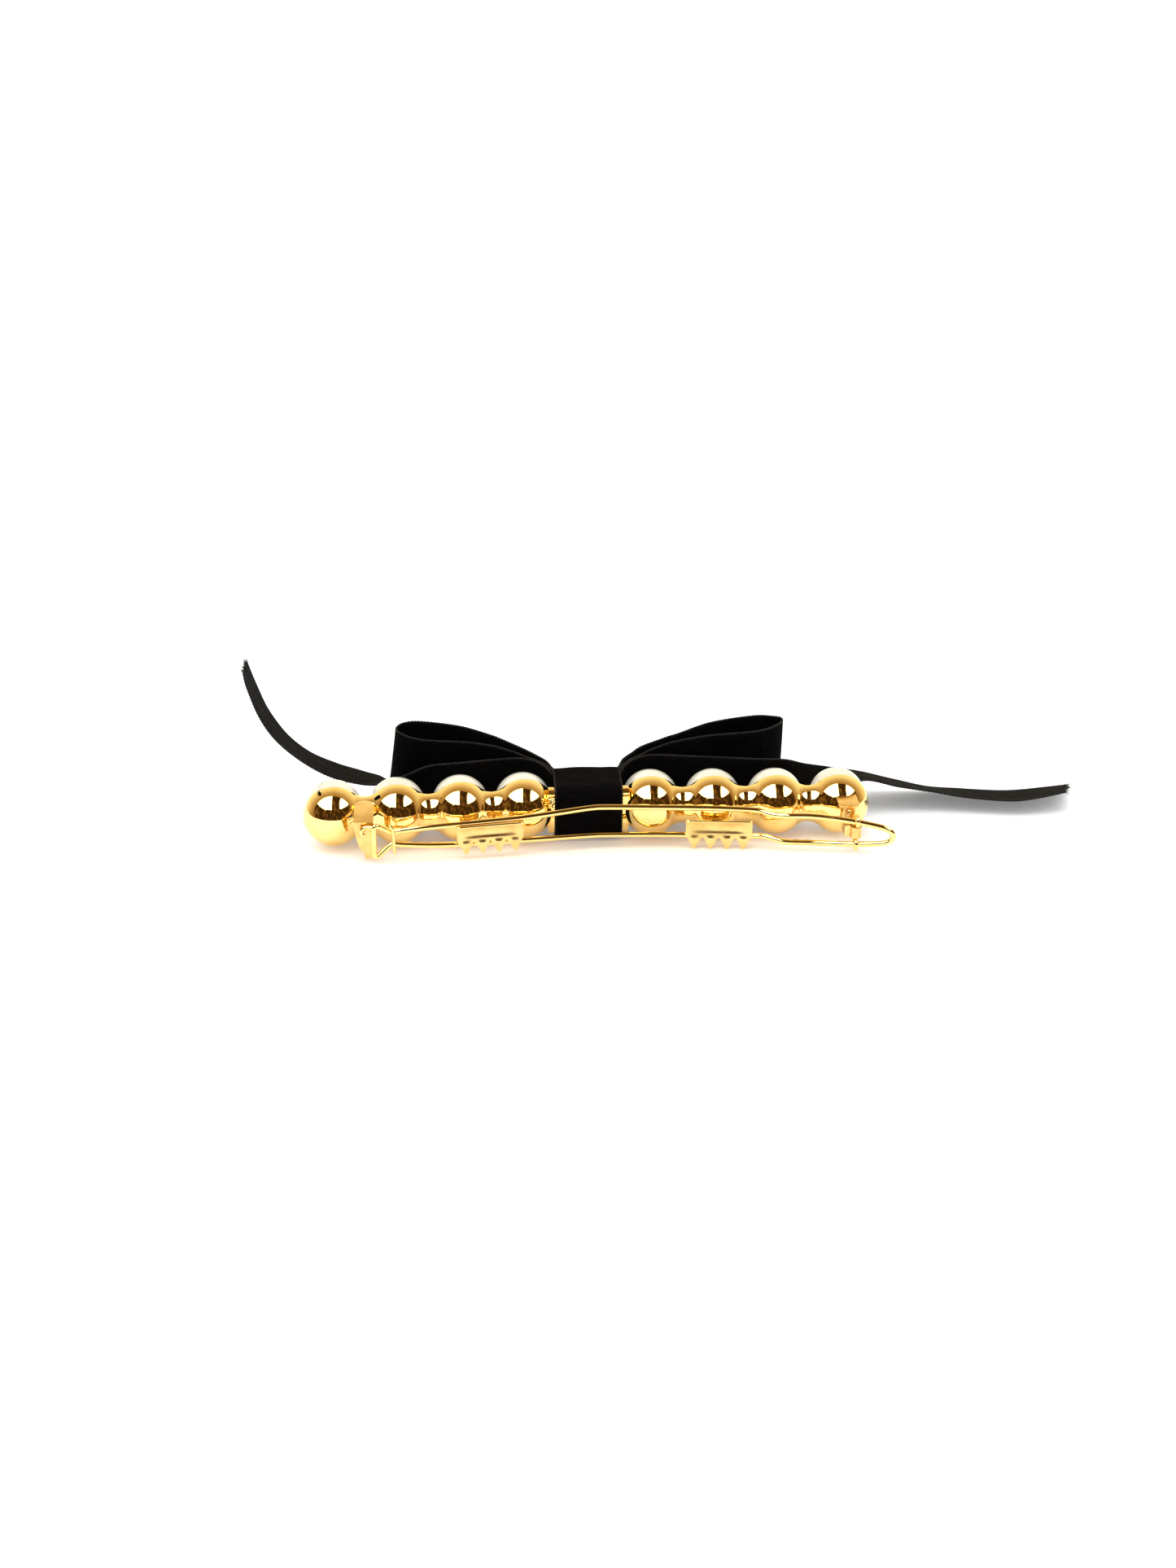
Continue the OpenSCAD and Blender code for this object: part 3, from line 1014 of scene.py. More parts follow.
@dataclass
class Row:
    """The cast row of cups, its bridge and its solder, with the pearls in it."""

    stance: Stance
    finishes: Finishes
    pitch: float = 9.2
    mid_gap: float = 18.6
    cup_r: float = 4.45
    neck_r: float = 2.7
    cups_per_side: int = 4
    rim_y: float = 0.5
    row_r: float = 720.0
    pearl_r: float = 4.1
    pearl_out: float = 2.3
    seat_fit: float = 0.03
    bridge_half: float = 3.6
    bridge_back: float = -2.1
    bridge_front: float = 0.1
    profile_step: float = math.radians(3.0)
    turns: int = 144

    def half_len(self) -> float:
        """Return the distance from the first to the last cup of a half."""
        return (self.cups_per_side - 1) * self.pitch

    def turn(self) -> float:
        """Return how far each half of the row is turned back."""
        return math.asin((self.mid_gap + self.half_len()) / (2 * self.row_r))

    def seat(self, side: Side, rank: int) -> Matrix:
        """Return the matrix from a cup's own millimetres to the frame."""
        angle = -side.value * self.turn()
        along = Matrix.Translation((side.value * self.mid_gap / 2, 0, 0))
        turned = Matrix.Rotation(angle, 4, "Z")
        step = Matrix.Translation((side.value * rank * self.pitch, 0, 0))
        return self.stance.matrix() @ along @ turned @ step

    def profile(self) -> list[tuple[float, float]]:
        """Work out the outline of half the row: cups joined by waisted necks.

        Returns:
            Pairs of a place along the row and a radius.
        """
        half = self.pitch / 2
        hollow = (half**2 + self.neck_r**2 - self.cup_r**2) / (2 * (self.cup_r - self.neck_r))
        centre = self.neck_r + hollow
        touch = math.atan2(centre, half)
        outline = []
        for k in range(self.cups_per_side):
            first = math.pi if k == 0 else math.pi - touch
            last = 0.0 if k == self.cups_per_side - 1 else touch
            count = max(int((first - last) / self.profile_step), 4)
            for i in range(count + 1):
                a = first + (last - first) * i / count
                x = k * self.pitch + self.cup_r * math.cos(a)
                outline.append((x, self.cup_r * math.sin(a)))
            if k < self.cups_per_side - 1:
                middle = k * self.pitch + half
                start = math.pi + touch
                for i in range(1, 16):
                    a = start + (math.pi - 2 * touch) * i / 16
                    outline.append(
                        (middle + hollow * math.cos(a), centre + hollow * math.sin(a))
                    )
        return outline

    def half(self, side: Side) -> bpy.types.Mesh:
        """Make half the row, cut back to the cups' rims.

        Args:
            side: The end of the row.

        Returns:
            Its mesh, in the frame's metres.
        """
        outline = self.profile()
        points, faces = [], []
        for along, r in outline:
            for k in range(self.turns):
                a = math.tau * k / self.turns
                points.append(
                    Vector((side.value * along, max(r, 0.0) * math.cos(a), r * math.sin(a)))
                )
        for i in range(len(outline) - 1):
            for k in range(self.turns):
                m = (k + 1) % self.turns
                a, b = i * self.turns, (i + 1) * self.turns
                faces.append((a + k, a + m, b + m, b + k))
        mesh = bpy.data.meshes.new("half_row")
        mesh.from_pydata([tuple(p) for p in points], [], faces)
        work = bmesh.new()
        work.from_mesh(mesh)
        bmesh.ops.remove_doubles(work, verts=work.verts, dist=1e-4)
        geometry = work.verts[:] + work.edges[:] + work.faces[:]
        cut = bmesh.ops.bisect_plane(
            work,
            geom=geometry,
            plane_co=(0, self.rim_y, 0),
            plane_no=(0, 1, 0),
            clear_outer=True,
        )
        rim = [e for e in cut["geom_cut"] if isinstance(e, bmesh.types.BMEdge)]
        bmesh.ops.contextual_create(work, geom=rim)
        bmesh.ops.recalc_face_normals(work, faces=work.faces)
        work.to_mesh(mesh)
        work.free()
        mesh.transform(self.seat(side, 0))
        return mesh

    def bridge(self) -> bpy.types.Mesh:
        """Make the bar under the ribbon."""
        reach = self.mid_gap / 2 - self.cup_r + 1.0
        middle = (self.bridge_back + self.bridge_front) / 2
        deep = (self.bridge_front - self.bridge_back) / 2
        rows = []
        sides = 48
        for x in (-reach, reach):
            ring = []
            for k in range(sides):
                a = math.tau * k / sides
                c, s = math.cos(a), math.sin(a)
                ring.append(
                    self.stance.row(
                        x,
                        middle + deep * math.copysign(abs(c) ** 0.5, c),
                        self.bridge_half * math.copysign(abs(s) ** 0.5, s),
                    )
                )
            rows.append(ring)
        points = [p for ring in rows for p in ring]
        faces = [
            (k, (k + 1) % sides, sides + (k + 1) % sides, sides + k) for k in range(sides)
        ]
        faces += [tuple(range(sides)), tuple(range(2 * sides - 1, sides - 1, -1))]
        return mesh_of("bridge", points, faces)

    def solder(self) -> bpy.types.Object:
        """Make the lumpy drop of solder beside the band."""
        work = bmesh.new()
        drops = ((-5.45, -2.5, 2.35, 0.62), (-5.6, -2.7, 1.75, 0.42), (-5.25, -2.9, 2.75, 0.38),
                 (-5.85, -2.45, 2.7, 0.34), (-5.3, -2.75, 1.3, 0.3))
        for x, y, z, r in drops:
            place = Matrix.Translation(self.stance.row(x, y, z))
            bmesh.ops.create_icosphere(work, subdivisions=4, radius=r * MM, matrix=place)
        for vertex in work.verts:
            lump = noise.noise(vertex.co * 2600.0) * 0.16 * MM
            vertex.co += vertex.normal * lump
        mesh = bpy.data.meshes.new("solder_drop")
        for face in work.faces:
            face.smooth = True
        work.to_mesh(mesh)
        work.free()
        return new_piece("solder_drop", mesh, self.finishes.gold)

    def casting(self) -> bpy.types.Object:
        """Join the halves and the bridge, and hollow the seats for the pearls."""
        work = bmesh.new()
        for side in Side:
            work.from_mesh(self.half(side))
        mesh = bpy.data.meshes.new("row_of_cups")
        work.to_mesh(mesh)
        work.free()
        piece = new_piece("row_of_cups", mesh, self.finishes.gold)
        seats = self.balls("seats", self.pearl_r + self.seat_fit, 96, 48)
        hollow = piece.modifiers.new("seats", "BOOLEAN")
        hollow.object = seats
        hollow.operation = "DIFFERENCE"
        hollow.solver = "EXACT"
        baked(piece)
        bpy.data.objects.remove(seats)
        work = bmesh.new()
        work.from_mesh(piece.data)
        work.from_mesh(self.bridge())
        work.to_mesh(piece.data)
        work.free()
        shaded_smooth(piece.data)
        creased(piece.data, 35.0)
        return piece

    def balls(self, name: str, radius: float, segments: int, rings: int) -> bpy.types.Object:
        """Put a ball in front of each cup.

        Args:
            name: The piece's name.
            radius: The balls' radius in millimetres.
            segments: Faces round a ball.
            rings: Faces from pole to pole.

        Returns:
            The balls, in one piece.
        """
        centres = [
            self.seat(side, rank) @ Vector((0, self.pearl_out, 0))
            for side in Side
            for rank in range(self.cups_per_side)
        ]
        tree = Beads(self.finishes.pearl, radius * MM, segments, rings)
        return tree.grow(name, centres, spline=False)

    def build(self) -> None:
        """Build the row and its pearls."""
        dressed(self.casting(), Body.ROW, Slot.GOLD, ["cup_casting"])
        dressed(self.solder(), Body.ROW, Slot.GOLD)
        pearls = self.balls("pearls", self.pearl_r, 96, 64)
        count = 2 * self.cups_per_side
        dressed(pearls, Body.ROW, Slot.PEARL, [f"pearl_{i + 1}" for i in range(count)])


@dataclass
class Arm:
    """The spring wire arm with its combs, its pin and the fine wire at its waist."""

    stance: Stance
    finishes: Finishes
    wire_r: float = 0.42
    comb_len: float = 9.5
    teeth: int = 4
    tooth_len: float = 1.9
    tooth_tilt: float = math.radians(14.0)
    plate_t: float = 0.26
    dish: float = 0.36
    rail: tuple[Point, ...] = (
        (-31.1, -8.85, 0), (-31.1, -8.85, 1.3), (-31.05, -8.85, 2.2), (-30.6, -8.7, 2.45),
        (-29.7, -8.3, 1.8), (-28.5, -7.9, 1), (-27.2, -7.8, 1.12), (-24, -7.65, 1.42),
        (-20, -7.4, 1.62), (-14.5, -6.8, 1.72), (-9.5, -6.2, 1.85), (-4, -5.3, 2.1),
        (0, -4.65, 2.28), (2.5, -4.55, 2.3), (9, -4.9, 2.25), (14, -5.25, 2.25),
        (19, -5.8, 2.28), (23.8, -6.3, 2.15), (25.2, -6.85, 1.95), (26.6, -7.65, 1.98),
        (28.2, -8.2, 2.15), (32, -8.6, 2.18), (37, -9.7, 1.92), (41, -10.7, 1.42),
        (42.5, -11.1, 0.95), (43, -11.25, 0.35),
    )
    # middle along and behind the row, turn in degrees, heights of the top and the fold
    combs: tuple[tuple[str, float, float, float, float, float], ...] = (
        ("comb_left", -14.5, -7.42, 6.5, 1.5, -0.8),
        ("comb_right", 18.6, -6.38, -5.8, 0.55, -1.85),
    )

    def wire(self) -> bpy.types.Object:
        """Make the closed loop of wire."""
        upper = [Vector(p) for p in self.rail]
        lower = [Vector((p.x, p.y, -p.z)) for p in reversed(upper[1:])]
        line = [self.stance.row(*p) for p in smooth(upper + lower, 8, closed=True)]
        mesh = tube_mesh("arm_wire", line, lambda share: self.wire_r * MM, 24, closed=True)
        return new_piece("arm_wire", mesh, self.finishes.gold)

    def comb(self, name: str, x: float, y: float, turn: float, top: float, fold: float) -> None:
        """Make a folded comb plate with a hem and teeth.

        Args:
            name: The node that it stands for.
            x: The plate's middle along the row.
            y: The plate's middle behind the row.
            turn: The plate's turn in degrees.
            top: The height of its hem.
            fold: The height of its fold.
        """
        place = (
            self.stance.matrix()
            @ Matrix.Translation((x, y, 0))
            @ Matrix.Rotation(math.radians(turn), 4, "Z")
        )
        columns, rows_up, rows_down = 12 * self.teeth, 10, 8
        points: list[Vector] = []
        faces: list[tuple[int, ...]] = []

        def put(along: float, out: float, up: float) -> None:
            points.append(place @ Vector((along, out, up)))

        for j in range(rows_up + 1):
            v = j / rows_up
            up = top + (fold - top) * v
            for i in range(columns + 1):
                u = 2 * i / columns - 1
                ends = max(0.0, abs(u) - 0.9) / 0.1
                hollow = self.dish * math.sin(math.pi * min(v * 1.08, 1.0)) * (1 - abs(u) ** 6)
                put(u * self.comb_len / 2, hollow + 0.32 * ends**2 * (1 - 0.6 * v) - 0.12, up)
        width = columns + 1
        for j in range(rows_up):
            for i in range(columns):
                a = j * width + i
                faces.append((a, a + 1, a + 1 + width, a + width))
        base = rows_up * width
        per = columns // self.teeth
        step = self.comb_len / self.teeth
        for tooth in range(self.teeth):
            middle = (tooth + 0.5) * step - self.comb_len / 2
            row = [base + tooth * per + i for i in range(per + 1)]
            for j in range(1, rows_down + 1):
                v = j / rows_down
                bent = self.tooth_tilt * min(v * 2.2, 1.0)
                down = self.tooth_len * v
                half = step / 2 * (1 - 0.9 * v**0.92)
                new_row = []
                for i in range(per + 1):
                    u = 2 * i / per - 1
                    ridge = 0.22 * (1 - u * u) * (1 - v)
                    new_row.append(len(points))
                    put(
                        middle + u * half,
                        -down * math.sin(bent) - 0.12 - ridge,
                        fold - down * math.cos(bent),
                    )
                for i in range(per):
                    faces.append((row[i], row[i + 1], new_row[i + 1], new_row[i]))
                row = new_row
        mesh = bpy.data.meshes.new(name + "_plate")
        mesh.from_pydata([tuple(p) for p in points], [], faces)
        shaded_smooth(mesh)
        piece = new_piece(name + "_plate", mesh, self.finishes.pressed)
        thickened(piece, "sheet", self.plate_t)
        creased(piece.data, 50.0)
        dressed(piece, Body.ARM, Slot.GOLD, [name])
        hem = [place @ Vector((u * self.comb_len / 2, -0.2, top - 0.02)) for u in (-1, 0, 1)]
        roll = tube_mesh(name + "_hem", evened(hem, 24), lambda share: 0.17 * MM, 14)
        dressed(new_piece(name + "_hem", roll, self.finishes.gold), Body.ARM, Slot.GOLD)

    def waist_wire(self) -> bpy.types.Object:
        """Make the fine wire that keeps the two rails together at the waist."""
        spine = [(-28.75, -8.25, 2.35), (-28.45, -8.42, 1.7), (-28.3, -8.5, 0.6),
                 (-28.3, -8.45, -0.7), (-28.25, -8.38, -1.7), (-28.1, -8.2, -2.3)]
        line = smooth([self.stance.row(*p) for p in spine], 8)
        mesh = tube_mesh("waist_wire", line, lambda share: 0.24 * MM, 16)
        return new_piece("waist_wire", mesh, self.finishes.gold)

    def end_hook(self) -> bpy.types.Object:
        """Make the end of the wire, which turns back on itself past the end bar."""
        spine = [(-31.2, -8.85, 2.3), (-31.8, -8.78, 2.32), (-32.45, -8.75, 2.2),
                 (-32.85, -8.78, 1.75), (-32.7, -8.85, 1.3), (-32.3, -8.95, 1.2)]
        line = smooth([self.stance.row(*p) for p in spine], 8)
        mesh = tube_mesh("end_hook", line, lambda share: (0.34 - 0.1 * share) * MM, 18)
        return new_piece("end_hook", mesh, self.finishes.gold)

    def build(self, frame: dict[str, Any]) -> None:
        """Build the arm.
        """
        dressed(self.wire(), Body.ARM, Slot.GOLD, ["arm_frame"])
        for comb in self.combs:
            self.comb(*comb)
        dressed(self.waist_wire(), Body.ARM, Slot.GOLD, ["cross_pin"])
        dressed(self.end_hook(), Body.ARM, Slot.GOLD)
        pin = softened(frame, "hinge_pin", "hinge_pin_eyes", self.finishes.gold, 0.05)
        dressed(pin, Body.ARM, Slot.GOLD, ["hinge_pin"])


@dataclass
class Brackets:
    """The catch at the left end of the row and the hinge bracket at its right end."""

    finishes: Finishes
    edge_round: float = 0.11

    def build(self, frame: dict[str, Any]) -> None:
        """Build both brackets from their nodes, with rounded edges.
        """
        for node, name in (("catch_bracket", "catch"), ("hinge_bracket", "hinge_plate")):
            piece = softened(frame, node, name, self.finishes.pressed, self.edge_round)
            dressed(piece, Body.ROW, Slot.GOLD, [node])


@dataclass
class Bow:
    """The velvet bow: two loops, two tails, the gathered middle and the band."""

    stance: Stance
    finishes: Finishes
    width: float = 10.0
    band_wide: float = 9.56
    thick: float = 0.3
    bound_half: float = 3.8
    root_y: float = 3.75
    band_play: float = 0.08
    band_back: float = -2.1
    band_front: float = 4.85
    band_corner: float = 1.3
    edge_pitch: float = 0.5
    edge_r: float = 0.2
    across: int = 20
    # how far a loop reaches, the middle of its near and far plies, and its end's slant
    loops: tuple[tuple[Side, float, float, float, float], ...] = (
        (Side.LEFT, 28.3, 12.3, 18.2, 0.62),
        (Side.RIGHT, 30.8, 12.6, 17.6, 0.0),
    )
    # where both tails start: x, y, and the heights of the lower and the upper edge
    tail_start: tuple[tuple[float, float, float, float], ...] = (
        (3.6, 3.2, -3.6, 3.6), (4.7, 3.2, -3.6, 3.6), (5.15, 3.5, -3.7, 3.7),
        (5.5, 4.3, -3.8, 3.8), (6.2, 5.3, -3.9, 4), (7.3, 6.15, -4.2, 4.2),
        (8.8, 6.65, -4.6, 4.4), (11, 6.75, -5, 4.5), (18.5, 6.65, -5.5, 4),
    )
    right_tail: tuple[tuple[Point, Point], ...] = (
        ((26, 7.6, -4.3), (26, 6.1, 4.5)), ((30.5, 6.6, -4.2), (30.5, 9, 3.3)),
        ((34, 5.5, -3.8), (34, 12.5, 1.4)), ((38, 6, -1.4), (38.6, 15.5, -0.3)),
        ((42, 7, 0.5), (43.5, 16.6, -1.5)), ((47.5, 7.2, -0.7), (48.5, 16.8, -2.9)),
        ((52.8, 7, -1.6), (53.6, 16.5, -4.1)), ((58, 6, -2.3), (58.8, 15.6, -4.35)),
        ((64.5, 4.6, -2.5), (65.2, 14.2, -4.35)), ((69, 4.8, -2.1), (70.5, 14.4, -4.2)),
        ((72.3, 5.4, -1.7), (75.2, 14.8, -3.9)),
    )
    left_tail: tuple[tuple[Point, Point], ...] = (
        ((-23, 6.2, 4.6), (-23, 8.6, -4.1)), ((-26.5, 5.7, 3.4), (-26.3, 12, -3.6)),
        ((-30.5, 5, 2.4), (-29.4, 14.4, -0.2)), ((-34.2, 5, 2.8), (-32.8, 14.5, 1.2)),
        ((-38, 5, 4.1), (-36.6, 14.5, 2.5)), ((-42, 5, 6.7), (-40.6, 14.5, 4.4)),
        ((-45.3, 5, 9.9), (-43.9, 14.5, 7.2)), ((-47.4, 5, 13.4), (-46.5, 14.5, 11)),
        ((-48.9, 5.2, 17.6), (-48, 14.6, 14.4)), ((-49.3, 5.6, 19.4), (-49.4, 14.2, 18.6)),
    )

    def loop_line(self, reach: float, near_y: float, far_y: float) -> list[Vector]:
        """Return the middle line of a loop in plan, from near root to far root."""
        root = self.root_y
        plan = [
            (0.1, root), (4.3, root), (5, 4.15), (5.4, 4.9), (6.1, 5.8), (7.1, 6.6), (8.5, 7.3),
            (11, 8.8), (0.6 * reach, near_y - 1.2), (0.86 * reach, near_y),
            (reach - 0.7, near_y + 2.2), (reach, near_y + 4), (reach - 1.2, far_y - 0.3),
            (0.86 * reach, far_y), (0.64 * reach, far_y - 1.9), (0.45 * reach, far_y - 5.6),
            (9, 9.9), (7.2, 8.3), (5.9, 7), (5.3, 5.8), (5, 4.9), (4.5, root + 0.55),
            (3.8, root + 0.45), (0.1, root + 0.45),
        ]
        return [Vector((x, y, 0.0)) for x, y in plan]

    def half_height(self, x: float) -> float:
        """Return half the ribbon's height in a loop, gathered in near the band."""
        share = min(max((abs(x) - 4.9) / 8.1, 0.0), 1.0)
        return self.bound_half + (self.width / 2 - self.bound_half) * share

    def strip(
        self, name: str, edges: Sequence[tuple[Vector, Vector]], ripple: float
    ) -> tuple[bpy.types.Object, float]:
        """Make a strip of ribbon between two edges.

        Args:
            name: The piece's name.
            edges: Pairs of points on the two edges, in metres.
            ripple: The height of its soft ripples in millimetres.

        Returns:
            The piece and the length of its middle line.
        """
        rows = []
        for i, (near, far) in enumerate(edges):
            before, after = edges[max(i - 1, 0)], edges[min(i + 1, len(edges) - 1)]
            ahead = (after[0] + after[1] - before[0] - before[1]).normalized()
            normal = ahead.cross(far - near).normalized()
            row = []
            for k in range(self.across + 1):
                v = k / self.across
                place = near.lerp(far, v)
                wave = noise.noise(place * 170.0) + 0.5 * noise.noise(place * 420.0)
                row.append(place + normal * wave * ripple * MM)
            rows.append(row)
        piece = new_piece(name, grid_mesh(name, rows), self.finishes.velvet)
        thickened(piece, "cloth", self.thick)
        middle = [a.lerp(b, 0.5) for a, b in edges]
        return piece, length_of(middle)

    def edging(self, name: str, lines: Sequence[Sequence[Vector]]) -> bpy.types.Object:
        """Make the woven edge along some lines.

        Args:
            name: The piece's name.
            lines: The edges' lines, in metres.

        Returns:
            The piece.
        """
        tree = Picots(self.finishes.edge, self.edge_pitch * MM, self.edge_r * MM, 1.5)
        parts = [tree.grow(f"{name}_{i}", line, spline=True) for i, line in enumerate(lines)]
        work = bmesh.new()
        for part in parts:
            work.from_mesh(part.data)
            bpy.data.objects.remove(part)
        mesh = bpy.data.meshes.new(name)
        work.to_mesh(mesh)
        work.free()
        return new_piece(name, mesh, self.finishes.edge)

    def loop(self, side: Side, reach: float, near_y: float, far_y: float, slant: float) -> None:
        """Make one loop of the bow.

        Args:
            side: The side of the bow.
            reach: How far it reaches from the middle.
            near_y: The middle of its near ply.
            far_y: The middle of its far ply.
            slant: How far the end's lower corner stands out and its upper one stands in.
        """
        word = side.name.lower()
        line = evened(smooth(self.loop_line(reach, near_y, far_y), 10), 220)
        edges = []
        for p in line:
            half = self.half_height(p.x)
            shift = slant * min(max((p.x - 10.0) / (reach - 10.0), 0.0), 1.0) ** 2
            edges.append(
                (
                    self.stance.row(side.value * (p.x + shift), p.y, -half),
                    self.stance.row(side.value * (p.x - shift), p.y, half),
                )
            )
        piece, long = self.strip(f"loop_{word}", edges, 0.05)
        trim = self.edging(f"loop_{word}_edge", [[e[k] for e in edges] for k in (0, 1)])
        dressed(piece, Body.ROW, Slot.VELVET, [f"bow_loop_{word}"])
        dressed(trim, Body.ROW, Slot.VELVET)
        self.width * MM

    def tail(self, side: Side, rest: Sequence[tuple[Point, Point]]) -> None:
        """Make one tail of the bow.

        Args:
            side: The side of the bow.
            rest: Pairs of points on its edges, past the pearls.
        """
        word = side.name.lower()
        pairs = []
        for x, y, low, high in self.tail_start:
            ends = (low, high) if side is Side.RIGHT else (high, low)
            pairs.append(tuple(self.stance.row(side.value * x, y, z) for z in ends))
        pairs += [(self.stance.table(*a), self.stance.table(*b)) for a, b in rest]
        near = evened(smooth([p[0] for p in pairs], 10), 200)
        far = evened(smooth([p[1] for p in pairs], 10), 200)
        edges = list(zip(near, far))
        piece, long = self.strip(f"tail_{word}", edges, 0.06)
        trim = self.edging(f"tail_{word}_edge", [near, far])
        outward = ((near[-1] - near[-8]) + (far[-1] - far[-8])).normalized()
        ends = [near[-1].lerp(far[-1], k / 120) - outward * 0.1 * MM for k in range(121)]
        tree = Fibres(self.finishes.edge, 1.3 * MM, 0.05 * MM, outward)
        fray = tree.grow(f"tail_{word}_fray", ends, spline=False)
        dressed(piece, Body.ROW, Slot.VELVET, [f"tail_{word}"])
        dressed(trim, Body.ROW, Slot.VELVET)
        dressed(fray, Body.ROW, Slot.VELVET)
        self.width * MM

    def band_ring(self, grow: float, count: int) -> list[tuple[float, float]]:
        """Work out the band's outline across the row.

        Args:
            grow: How far outside the band's inner face the outline runs.
            count: How many points it has.

        Returns:
            Pairs of a place out through the pearls and a height.
        """
        low = self.band_back - self.band_play - grow
        high = self.band_front + grow
        half = self.bound_half + self.band_play + grow
        corner = self.band_corner - self.thick + grow
        ring = []
        centres = ((high - corner, half - corner), (low + corner, half - corner),
                   (low + corner, corner - half), (high - corner, corner - half))
        for k, (y, z) in enumerate(centres):
            for i in range(9):
                a = math.pi / 2 * (k + i / 8)
                ring.append((y + corner * math.cos(a), z + corner * math.sin(a)))
        line = [Vector((y, z, 0)) for y, z in [*ring, ring[0]]]
        return [(p.x, p.y) for p in evened(line, count + 1)[:-1]]

    def band(self) -> None:
        """Make the band that binds the bow to the bridge."""
        outline = self.band_ring(self.thick / 2, 128)
        rows, edges = [], ([], [])
        for y, z in outline:
            row = []
            for i in range(self.across + 1):
                u = 2 * i / self.across - 1
                x = u * self.band_wide / 2
                sag = 0.10 * (u * u - 0.4) + 0.07 * noise.noise(Vector((x * 0.9, y, z)) * 0.55)
                swell = 1.0 - sag / 4.0
                row.append(self.stance.row(x, y * swell + (1 - swell) * 1.3, z * swell))
            rows.append(row)
            edges[0].append(row[0])
            edges[1].append(row[-1])
        mesh = grid_mesh("band", rows, ring=True, outward=True)
        piece = new_piece("band", mesh, self.finishes.velvet)
        thickened(piece, "cloth", self.thick)
        trim = self.edging("band_edge", [[*line, line[0]] for line in edges])
        dressed(piece, Body.ROW, Slot.VELVET, ["center_band"])
        dressed(trim, Body.ROW, Slot.VELVET)
        long = length_of([row[0] for row in rows] + [rows[0][0]])
        self.width * MM

    def build(self, frame: dict[str, Any]) -> None:
        """Build the bow.
        """
        knot = softened(frame, "bow_knot", "gathers", self.finishes.velvet, 0.4)
        dressed(knot, Body.ROW, Slot.VELVET, ["bow_knot"])
        self.band()
        for loop in self.loops:
            self.loop(*loop)
        self.tail(Side.LEFT, self.left_tail)
        self.tail(Side.RIGHT, self.right_tail)


# ---------------------------------------------------------------- studio


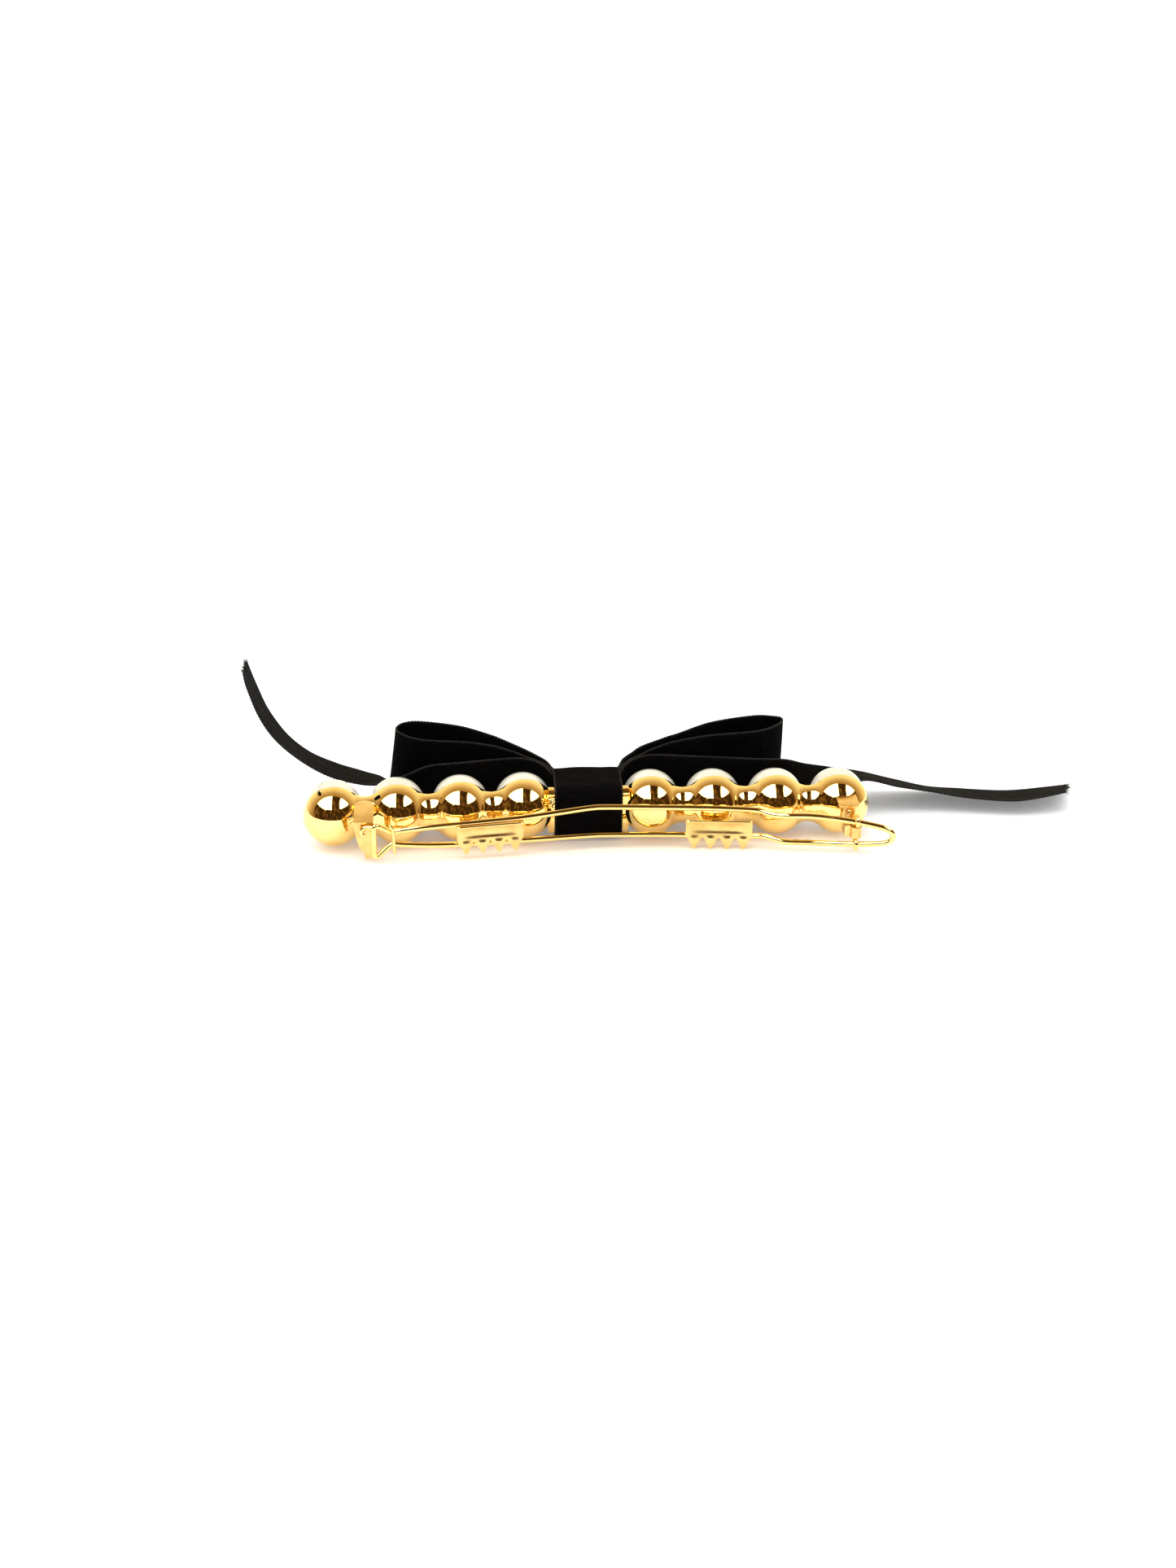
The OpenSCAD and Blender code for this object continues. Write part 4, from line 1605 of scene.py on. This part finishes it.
@dataclass
class Studio:
    """The table, the light tent and the camera."""

    stance: Stance
    finishes: Finishes
    distance: float = 344.4
    azimuth: float = math.radians(-4.36)
    elevation: float = math.radians(19.0)
    lens: float = 54.1
    sensor: float = 36.0
    aim_right: float = -0.06
    aim_up: float = -3.2
    tent_light: float = 1.12
    tent_near: Colour = (0.40, 0.22, 0.08)
    tent_far: Colour = (1.45, 1.25, 0.88)
    room_dark: Colour = (0.045, 0.020, 0.006)
    room_mid: Colour = (0.26, 0.13, 0.04)
    window: Colour = (6.0, 6.0, 5.6)
    # where the room's opening and its windows begin, as a cosine and as a height
    opening_at = (0.20, 0.25)
    windows_at = (0.62, 0.66)
    lamp_at: Point = (-0.12, -0.10, 0.55)
    lamp_size = (0.5, 0.4)
    lamp_power: float = 1.2
    table_half: float = 40.0

    def axes(self) -> tuple[Vector, Vector, Vector]:
        """Return the camera's right, up and backward directions."""
        az, el = self.azimuth, self.elevation
        back = Vector((math.sin(az) * math.cos(el), -math.cos(az) * math.cos(el), math.sin(el)))
        right = Vector((math.cos(az), math.sin(az), 0.0))
        return right, back.cross(right), back

    def camera(self) -> None:
        """Make the camera."""
        right, up, back = self.axes()
        lens = bpy.data.cameras.new("camera")
        lens.lens = self.lens
        lens.sensor_fit = "VERTICAL"
        lens.sensor_height = self.sensor
        lens.clip_start = 0.01
        lens.clip_end = 100.0
        camera = bpy.data.objects.new("camera", lens)
        bpy.context.scene.collection.objects.link(camera)
        offset = back * self.distance - right * self.aim_right - up * self.aim_up
        camera.location = self.stance.middle + offset * MM
        camera.rotation_euler = (math.pi / 2 - self.elevation, 0.0, self.azimuth)
        bpy.context.scene.camera = camera

    def table(self) -> None:
        """Lay the table just under the lowest piece."""
        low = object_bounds()[0]
        work = bmesh.new()
        bmesh.ops.create_grid(work, x_segments=1, y_segments=1, size=self.table_half)
        mesh = bpy.data.meshes.new("table")
        work.to_mesh(mesh)
        work.free()
        mesh.transform(Matrix.Translation((0.0, 0.0, Vector(low).z)))
        new_piece("table", mesh, self.finishes.table)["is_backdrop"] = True

    def tent(self) -> None:
        """Make the light tent that the gold mirrors, with the room in its opening."""
        world = bpy.data.worlds.new("tent")
        world.use_nodes = True
        bpy.context.scene.world = world
        board = Board(world.node_tree)
        right, _, back = self.axes()
        heading = board.node("ShaderNodeTexCoord", output="Generated")

        def along(axis: Vector) -> Wire:
            return board.node(
                "ShaderNodeVectorMath",
                {"operation": "DOT_PRODUCT"},
                {0: heading, 1: tuple(axis)},
                "Value",
            )

        facing = along(back)
        opening = facing.stepped(*self.opening_at)
        height = along(Vector((0.0, 0.0, 1.0)))
        side = along(right)
        figure = (side + 0.02 + height * 0.05).stepped(-0.03, 0.03) * (
            1 - (side - 0.60 + height * 0.22).stepped(-0.04, 0.03)
        )
        streaks = board.node(
            "ShaderNodeTexNoise",
            inputs={
                "Vector": board.node(
                    "ShaderNodeVectorMath",
                    {"operation": "MULTIPLY"},
                    {0: heading, 1: (5.0, 5.0, 1.8)},
                ),
                "Scale": 1.0,
                "Detail": 3.0,
            },
        ).stepped(0.45, 0.72)
        lit = (height + streaks * 0.07).stepped(*self.windows_at) * (1 - figure)
        room = board.mix(streaks, self.room_dark, self.room_mid)
        outside = board.mix(lit, room, self.window)
        tent = board.mix(facing.stepped(-1.0, 0.3), self.tent_far, self.tent_near)
        seen = board.mix(opening, tent, outside)
        mirrored = board.node("ShaderNodeBackground", inputs={"Color": seen})
        soft = board.node(
            "ShaderNodeBackground",
            inputs={"Color": (1.0, 1.0, 1.0, 1.0), "Strength": self.tent_light},
        )
        glossy = board.node("ShaderNodeLightPath", output="Is Glossy Ray")
        both = board.node("ShaderNodeMixShader", inputs={0: glossy, 1: soft, 2: mirrored})
        board.node("ShaderNodeOutputWorld", inputs={"Surface": both})

    def lamp(self) -> None:
        """Hang one broad soft lamp over the table."""
        light = bpy.data.lights.new("softbox", "AREA")
        light.shape = "RECTANGLE"
        light.size, light.size_y = self.lamp_size
        light.energy = self.lamp_power
        lamp = bpy.data.objects.new("softbox", light)
        bpy.context.scene.collection.objects.link(lamp)
        lamp.location = self.lamp_at
        lamp.rotation_euler = Vector(self.lamp_at).to_track_quat("Z", "Y").to_euler()
        lamp.visible_glossy = False

    def build(self) -> None:
        """Build the studio."""
        self.tent()
        self.lamp()
        self.table()
        bpy.context.scene.view_settings.view_transform = "Standard"
        bpy.context.scene.view_settings.look = "None"


def main() -> None:
    """Build the barrette and its studio."""
    logging.basicConfig(level=logging.INFO, format="%(name)s: %(message)s")
    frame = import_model()
    stance = Stance.of(frame)
    finishes = Finishes()
    studio = Studio(stance, finishes)
    studio.camera()
    Row(stance, finishes).build()
    Brackets(finishes).build(frame)
    Arm(stance, finishes).build(frame)
    Bow(stance, finishes).build(frame)
    studio.build()


if __name__ == "__main__":
    main()
